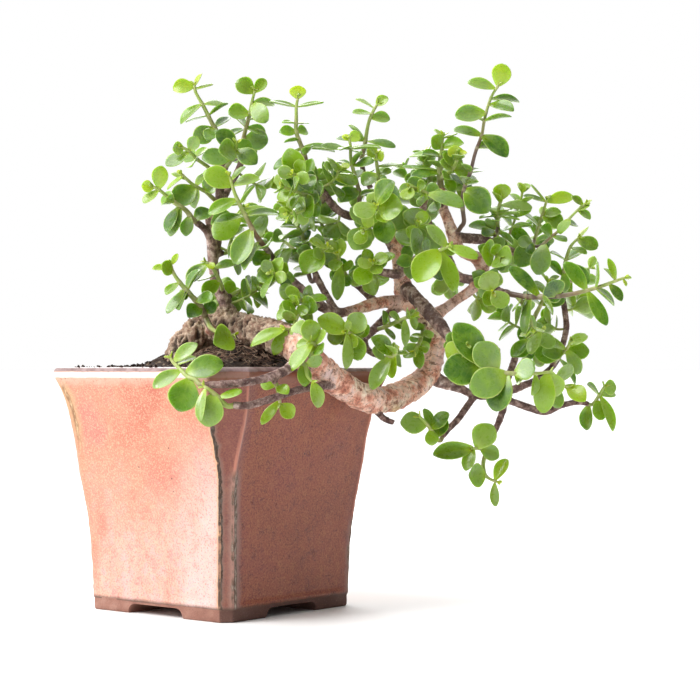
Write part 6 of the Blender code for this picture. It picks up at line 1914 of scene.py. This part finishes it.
# Painted sheen: the lit sides turn pale pink towards the foot, in streaks
low = times(ramp(rise, (0.25, 1.0), (1.1, 0.0)), lit_side)
painted_sheen = times(low, ramp(streak, (0.36, 0.25), (0.6, 0.9)))
glaze = blend(painted_sheen, glaze,
              ramp(mottle, (0.37, (0.6, 0.36, 0.34)), (0.5, (0.62, 0.42, 0.34)), (0.62, (0.6, 0.4, 0.43))))
# Painted highlight: pale pink-white near the lit front corner, in streaks
pale = times(corner_highlight, ramp(streak, (0.3, 0.55), (0.62, 1.0)))
glaze = blend(times(pale, 0.75), glaze, ramp(mottle, (0.4, (0.68, 0.56, 0.56)), (0.58, (0.72, 0.66, 0.68))))
glaze = over(glaze, (mottle, (0.54, 0.0), (0.7, 0.35), blend(lit_side, (0.4, 0.165, 0.07), (0.7, 0.38, 0.26))))
dark_spots = times(ramp(mottle, (0.34, 0.5), (0.46, 0.0)), ramp(lit_side, (0.0, 1.0), (1.0, 0.4)))
glaze = blend(dark_spots, glaze, blend(lit_side, (0.14, 0.042, 0.038), (0.55, 0.17, 0.14)))
glaze = over(
    glaze,
    (grain, (0.52, 0.0), (0.6, 0.6), blend(lit_side, (0.4, 0.16, 0.065), (0.72, 0.47, 0.31))),
    (grain, (0.38, 0.7), (0.46, 0.0), blend(lit_side, (0.1, 0.026, 0.02), (0.52, 0.17, 0.12))),
)
mauve = ramp(scaled(gap, 0.05, 0.5), (0.2, 0.8), (0.5, 0.8), (0.6, 0.6), (0.95, 0.0))
mauve = times(mauve, minus(1.0, lit_side))
glaze = blend(times(mauve, 0.65), glaze, ramp(mottle, (0.4, (0.2, 0.078, 0.072)), (0.6, (0.26, 0.11, 0.095))))
on_ridge = ramp(scaled(gap, 0.1, 0.5), (0.38, 0.0), (0.47, 1.0), (0.53, 1.0), (0.64, 0.0))
ridge_top = times(on_ridge, ramp(rise, (0.1, 0.3), (0.8, 0.85)))
glaze = blend(ridge_top, glaze, blend(lit_side, (0.56, 0.22, 0.15), (0.68, 0.38, 0.26)))
uneven = times(minus(noise_of(place, 150, 5, 0.6), 0.5), 5.0)
off = sum_of("ABSOLUTE", plus(minus(gap, shift), uneven))
spread = sum_of("DIVIDE", off, band)
line = ramp(spread, (0.5, 1.0), (1.1, 0.0))
line = times(line, times(crawl, ramp(streak, (0.36, 0.6), (0.46, 1.0))))
halo = ramp(times(spread, 0.3), (0.2, 0.75), (0.9, 0.0))
glaze = blend(times(halo, crawl), glaze, blend(lit_side, (0.3, 0.19, 0.16), (0.62, 0.36, 0.18)))
broken = blend(gold, (0.05, 0.033, 0.027), (0.3, 0.16, 0.08))
flecks = ramp(noise_of(streaky, 620, 3, 0.7), (0.46, 0.0), (0.6, 1.0))
core = times(ramp(spread, (0.25, 1.0), (0.6, 0.0)), ramp(gold, (0.12, 0.0), (0.24, 1.0)))
flecks = times(flecks, scaled(core, 0.8, 0.2))
broken = blend(flecks, broken, blend(gold, (0.42, 0.37, 0.34), (0.62, 0.42, 0.24)))
glaze = blend(line, glaze, broken)
below_rim = plus(up, times(mottle, 7.0))
rim_band = ramp(times(minus(below_rim, 136.0), 0.05), (0.25, 0.0), (0.5, 0.85))
glaze = blend(rim_band, glaze, blend(lit_side, (0.27, 0.11, 0.07), (0.66, 0.38, 0.28)))
specks = times(ramp(noise_of(place, 420, 3, 0.7), (0.57, 0.0), (0.66, 0.8)), rim_band)
glaze = blend(specks, glaze, (0.22, 0.1, 0.05))
# Painted highlight: a whitish band along the rounded edge just under the rim, on the lit sides
rim_height = times(minus(plus(up, times(mottle, 1.4)), 140.0), 0.1)
thickness_and_rim_highlight = times(ramp(rim_height, (0.4, 0.0), (0.47, 1.0), (0.72, 1.0), (0.8, 0.0)), lit_side)
glaze = blend(times(thickness_and_rim_highlight, 0.8), glaze, (0.9, 0.82, 0.76))
# Painted reflection: the rounded top of the rim turns a dull grey-purple
rim_reflection = ramp(rim_height, (0.76, 0.0), (0.84, 0.92))
glaze = blend(rim_reflection, glaze, ramp(mottle, (0.4, (0.2, 0.135, 0.135)), (0.6, (0.34, 0.25, 0.25))))
pores = put("TexVoronoi", Vector=place, Scale=240.0).outputs["Distance"]
rare = ramp(noise_of(place, 75, 2), (0.62, 0.0), (0.66, 1.0))
pinholes = times(ramp(pores, (0.09, 0.9), (0.15, 0.0)), rare)
glaze = blend(pinholes, glaze, (0.05, 0.025, 0.02))
foot = ramp(times(plus(up, times(mottle, 1.5)), 0.05), (0.42, 1.0), (0.52, 0.0))
glaze = blend(times(foot, 0.9), glaze, (0.09, 0.05, 0.035))
lift = plus(mottle, times(grain, 0.3))
lift = minus(lift, times(pinholes, 1.5))
lift = plus(lift, times(times(line, flecks), 1.6))
sheen = plus(ramp(mottle, (0.3, 0.26), (0.7, 0.38)), times(line, 0.25))
finished(glaze, sheen, lift, 0.16 * MM, 0.6)
glaze_nodes = len(tree.nodes)

# %% Bare clay material
clay_finish, tree, shader, place = started("bare_clay", Specular_IOR_Level=0.25)
grain, patch = noise_of(place, 1300, 4, 0.7), noise_of(place, 90, 4)
clay = ramp(patch, (0.3, (0.24, 0.11, 0.08)), (0.5, (0.32, 0.16, 0.12)), (0.72, (0.4, 0.23, 0.18)))
# Painted shade: the bare clay darkens on the shaded sides
shady = ramp(attribute("pot_warm"), (0.0, 0.75), (0.15, 0.6), (1.0, 0.0))
clay = blend(shady, clay, (0.06, 0.03, 0.026))
clay = over(
    clay,
    (grain, (0.32, 0.5), (0.45, 0.0), (0.09, 0.045, 0.035)),
    (grain, (0.58, 0.0), (0.7, 0.5), (0.46, 0.3, 0.23)),
)
finished(clay, ramp(grain, (0.3, 0.6), (0.7, 0.85)), grain, 0.2 * MM, 0.6)
pot_piece = dressed("glazed_pot", pot_mesh, glaze_finish, clay_finish)
pot_piece.data.set_sharp_from_angle(angle=math.radians(50))
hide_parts("pot")
print("glaze:", glaze_nodes, "nodes")

# %% [markdown]
# ## The soil
# The soil fills the pot to just below its rim and is heaped round the root base. It is pulled up like
# the pot, ring by ring, then across to the middle, with a height for every point: a broad heap, a low
# bank by the root's left foot, and lumps at three sizes.

# %% The soil's heights
SOIL_EDGE = 146.5
SOIL_HEAP = 17.5
HEAP_CENTRE = (12, -22)
HEAP_REACH = 36
# Each bank's place (x, y), height and width
BANKS = ((-33, 2, 9, 15), (-62, -18, 3.6, 18), (-20, 26, 5, 22), (52, -18, 2.5, 16))
# How often the soil's lumps come, and how tall each kind is
SOIL_LUMPS = ((0.07, 0.9), (0.23, 0.8), (0.6, 0.5))
SOIL_PARTS = 46
SOIL_CLEAR = 0.3
SOIL_GAP = WALL + SOIL_CLEAR
SOIL_TOP_FROM = 143
SOIL_GRAIN = 0.7


def soil_height(x, y):
    """The soil's height at a place, in millimetres."""
    away = math.hypot(x - HEAP_CENTRE[0], y - HEAP_CENTRE[1]) / HEAP_REACH
    height = SOIL_EDGE + SOIL_HEAP * math.exp(-away * away)
    for bank_x, bank_y, tall, wide in BANKS:
        height += tall * math.exp(-((x - bank_x) ** 2 + (y - bank_y) ** 2) / wide ** 2)
    place = Vector((x, y, 0))
    return height + sum(size * noise.noise(place * often) for often, size in SOIL_LUMPS)


edge = fine_ring(INSIDE_HEIGHTS[0], -SOIL_GAP)
rings = [fine_ring(INSIDE_FOOT, -SOIL_GAP - INSIDE_ROUND, FLOOR_HEIGHT + SOIL_CLEAR),
         fine_ring(INSIDE_FOOT, -SOIL_GAP, FLOOR_HEIGHT + SOIL_CLEAR + INSIDE_ROUND)]
rings += [fine_ring(height, -SOIL_GAP) for height in reversed(INSIDE_HEIGHTS)]
for i in range(SOIL_PARTS):
    part = 1 - i / SOIL_PARTS
    ring = []
    for place in edge:
        x, y = place.x / MM * part, place.y / MM * part
        ring.append(Vector((x, y, soil_height(x, y) - (0.6 if i == 0 else 0))) * MM)
    rings.append(ring)
soil_mesh = stacked(rings)
soil_mesh.normal_update()
for vertex in soil_mesh.verts:
    if vertex.co.z > SOIL_TOP_FROM * MM:
        vertex.co += vertex.normal * SOIL_GRAIN * MM * noise.noise(vertex.co / MM * 0.9)
soil_top = max(vertex.co.z for vertex in soil_mesh.verts) / MM
print("soil:", len(soil_mesh.faces), "faces, top at", round(soil_top, 1), "mm")

# %% [markdown]
# ## The soil's finish
# Potting soil is nearly black when damp: fine dark crumbs, browner bits of bark and a few pale grains.

# %% Soil material
soil_finish, tree, shader, place = started("potting_soil", Specular_IOR_Level=0.25)
clod, grit = noise_of(place, 240, 5, 0.7), noise_of(place, 900, 4, 0.7)
bits = put("TexVoronoi", Vector=place, Scale=650.0).outputs["Color"]
earth = ramp(clod, (0.3, (0.008, 0.005, 0.004)), (0.5, (0.026, 0.015, 0.011)), (0.72, (0.075, 0.045, 0.032)))
pale_bits = put("SeparateColor", Color=bits).outputs[0]
earth = over(
    earth,
    (grit, (0.56, 0.0), (0.7, 0.7), (0.16, 0.1, 0.065)),
    (pale_bits, (0.9, 0.0), (0.93, 0.55), (0.3, 0.22, 0.15)),
)
lift = plus(clod, times(grit, 0.6))
finished(earth, ramp(grit, (0.3, 0.8), (0.7, 0.97)), lift, 0.9 * MM, 0.9)
soil_piece = dressed("heaped_soil", soil_mesh, soil_finish)
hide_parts("soil")
print("soil finish:", len(tree.nodes), "nodes")

# %% [markdown]
# ## Crumbs and root fibres
# Loose crumbs lie on the soil and a few on the rim, and fine pale roots lace the heap under the arch of
# the root base. Each crumb is a dented lump of a few faces, each fibre a thin wandering tube.

# %% Crumbs
CRUMBS = 760
RIM_CRUMBS = 46
CRUMB_SIZES, RIM_CRUMB_SIZES = (0.45, 1.5), (0.3, 0.9)
CRUMB_SHAPE = ((0.7, 1.4), (0.6, 1.2), (0.5, 0.9))
CRUMB_DENT = 0.22
CORNER_ROOM = 14
RIM_REACH = 52
ON_RIM = (1.5, 6.5)
draw = random.Random("crumbs")
crumbs = bmesh.new()
inner_half = pot_half(INSIDE_HEIGHTS[0]) - SOIL_GAP - 1


def add_crumb(x, y, z, size):
    """A dented lump with its middle at a place, in millimetres."""
    turn = Matrix.Rotation(draw.uniform(0, 6.28), 4, Vector((draw.random(), draw.random(), 1)).normalized())
    wide, deep, tall = (draw.uniform(*reach) for reach in CRUMB_SHAPE)
    place = Matrix.Translation(Vector((x, y, z)) * MM) @ turn
    scale = Matrix.Diagonal((size * wide, size * deep, size * tall, 1 / MM)) * MM
    lump = bmesh.ops.create_icosphere(crumbs, subdivisions=1, radius=1, matrix=place @ scale)
    for vertex in lump["verts"]:
        dent = Vector([draw.uniform(-1, 1) for _ in range(3)])
        vertex.co += dent * size * CRUMB_DENT * MM


for _ in range(CRUMBS):
    flat = Vector((draw.uniform(-inner_half, inner_half), draw.uniform(-inner_half, inner_half), 0))
    if abs(flat.x) + abs(flat.y) > 2 * inner_half - CORNER_ROOM:
        continue
    x, y, _ = unturn.transposed() @ flat
    size = CRUMB_SIZES[0] + CRUMB_SIZES[1] * draw.random() ** 3
    add_crumb(x, y, soil_height(x, y) + size * 0.35, size)
for _ in range(RIM_CRUMBS):
    along = draw.choice((-1, 1)) * draw.uniform(0, 1) ** 0.5 * RIM_REACH
    left = draw.random() < 0.3
    out = -(pot_half(POT_HEIGHT) - draw.uniform(*ON_RIM))
    x, y, _ = unturn.transposed() @ Vector((out, along, 0) if left else (along, out, 0))
    size = RIM_CRUMB_SIZES[0] + RIM_CRUMB_SIZES[1] * draw.random() ** 2
    add_crumb(x, y, POT_HEIGHT + size * 0.4, size)
crumb_faces = len(crumbs.faces)
crumb_piece = dressed("soil_crumbs", crumbs, soil_finish, smooth_shade=False)
print("crumbs:", crumb_faces, "faces")

# %% Root fibres
FIBRES = 190
FIBRE_STEP, FIBRE_BEND = 1.7, 0.55
FIBRE_POINTS, FIBRE_RADII = (7, 15), (0.08, 0.2)
FIBRE_ACROSS, FIBRE_DEPTHS, FIBRE_LIFTS = (-22, 46), (-52, -8), (0.1, 1.6)
fibre_finish, tree, shader, place = started("root_fibre", Specular_IOR_Level=0.3)
tint = ramp(noise_of(place, 200, 3), (0.3, (0.1, 0.05, 0.035)), (0.5, (0.3, 0.17, 0.11)),
            (0.66, (0.7, 0.5, 0.36)))
finished(tint, ramp(noise_of(place, 700, 2), (0.3, 0.6), (0.7, 0.85)))
draw = random.Random("fibres")
fibres = bmesh.new()
for _ in range(FIBRES):
    x, y = draw.uniform(*FIBRE_ACROSS), draw.uniform(*FIBRE_DEPTHS)
    heading, lift = draw.uniform(0, 6.28), draw.uniform(*FIBRE_LIFTS)
    radius = draw.uniform(*FIBRE_RADII)
    run = []
    for i in range(draw.randint(*FIBRE_POINTS)):
        heading += draw.uniform(-FIBRE_BEND, FIBRE_BEND)
        x, y = x + FIBRE_STEP * math.cos(heading), y + FIBRE_STEP * math.sin(heading)
        lift = max(0.05, lift + draw.uniform(-0.35, 0.35))
        run.append(Vector((x * MM, y * MM, (soil_height(x, y) + lift) * MM, radius * MM * (1 - i / 22))))
    absorb(fibres, tube_mesh(run))
fibre_faces = len(fibres.faces)
fibre_piece = dressed("root_fibres", fibres, fibre_finish)
print("fibres:", fibre_faces, "faces")

# %% [markdown]
# ## The studio
# The photograph is a bright product shot: a white ground, a large soft light from the left, and enough
# light from behind to make the leaves glow. The camera stands level with the rim, a little to the right
# of the pot, and looks straight ahead.

# %% Camera
LENS = 99.45
SHIFT_UP = 0.0243
lens = bpy.data.cameras.new("camera")
lens.lens = LENS
lens.sensor_width = 36
lens.shift_y = SHIFT_UP
lens.clip_start, lens.clip_end = 0.05, 200
camera = bpy.data.objects.new("camera", lens)
camera.location = EYE + HOME
camera.rotation_euler = (math.radians(90), 0, 0)
scene.collection.objects.link(camera)
scene.camera = camera
print("camera at", [round(c, 3) for c in camera.location])

# %% Lights
MIDDLE = (-0.03, 0.0, 0.17)
# Each soft light's place and target in metres, its size and its power
SOFT_LIGHTS = {
    "key_light": ((-1.25, -0.75, 1.05), MIDDLE, (0.3, 0.3), 4.6),
    "edge_light": ((-1.0, -0.27, 0.2), (-0.1, -0.05, 0.12), (0.3, 0.75), 2.6),
    "back_light": ((-0.15, 1.1, 0.9), MIDDLE, (1.1, 0.9), 10),
}
WINDOW_LIGHT, WINDOW_SPREAD = 2.35, 44
WINDOW_WAY = (0.52, 0.28, -0.8)
SKY_WAY = (-0.65, 0.6, 0.47)
SKY_DARK, SKY_HALF, SKY_BRIGHT = 0.08, 0.42, 1.35


def lamp_object(name, lamp, place, way):
    """A light at a place, turned to shine along a way."""
    made = bpy.data.objects.new(name, lamp)
    made.location = place
    made.rotation_euler = way.to_track_quat("-Z", "Y").to_euler()
    scene.collection.objects.link(made)


for name, (place, target, size, power) in SOFT_LIGHTS.items():
    lamp = bpy.data.lights.new(name, "AREA")
    lamp.shape = "RECTANGLE"
    lamp.size, lamp.size_y = size
    lamp.energy = power
    lamp_object(name, lamp, place, Vector(target) - Vector(place))
sunny = bpy.data.lights.new("window_light", "SUN")
sunny.energy, sunny.angle = WINDOW_LIGHT, math.radians(WINDOW_SPREAD)
lamp_object("window_light", sunny, (0, 0, 0), Vector(WINDOW_WAY))
world = bpy.data.worlds.new("white_studio")
world.use_nodes = True
scene.world = world
tree = world.node_tree
paper = tree.nodes["Background"]
paper.inputs["Color"].default_value = (1, 1, 1, 1)
way = put("TexCoord").outputs["Generated"]
facing = put("VectorMath", {"operation": "DOT_PRODUCT"}, _0=way, _1=SKY_WAY).outputs["Value"]
sky_light = ramp(scaled(facing, 0.5, 0.5), (0.0, SKY_DARK), (0.45, SKY_HALF), (1.0, SKY_BRIGHT))
straight = put("LightPath").outputs["Is Camera Ray"]
strength = put("Mix", {"data_type": "FLOAT"}, _0=straight, _2=sky_light, _3=1.0).outputs[0]
tree.links.new(strength, paper.inputs["Strength"])
scene.view_settings.view_transform = "Standard"

# %% Floor
FLOOR_HALF = 60
ground_finish, tree, shader, place = started("pale_floor", Roughness=0.7)
grain = noise_of(place, 3, 3)
finished(ramp(grain, (0.3, (0.95, 0.95, 0.945)), (0.7, (0.97, 0.97, 0.965))))
sheet = bmesh.new()
bmesh.ops.create_grid(sheet, x_segments=1, y_segments=1, size=FLOOR_HALF)
floor = whole_object("floor", sheet)
floor.data.materials.append(ground_finish)
print("floor laid")
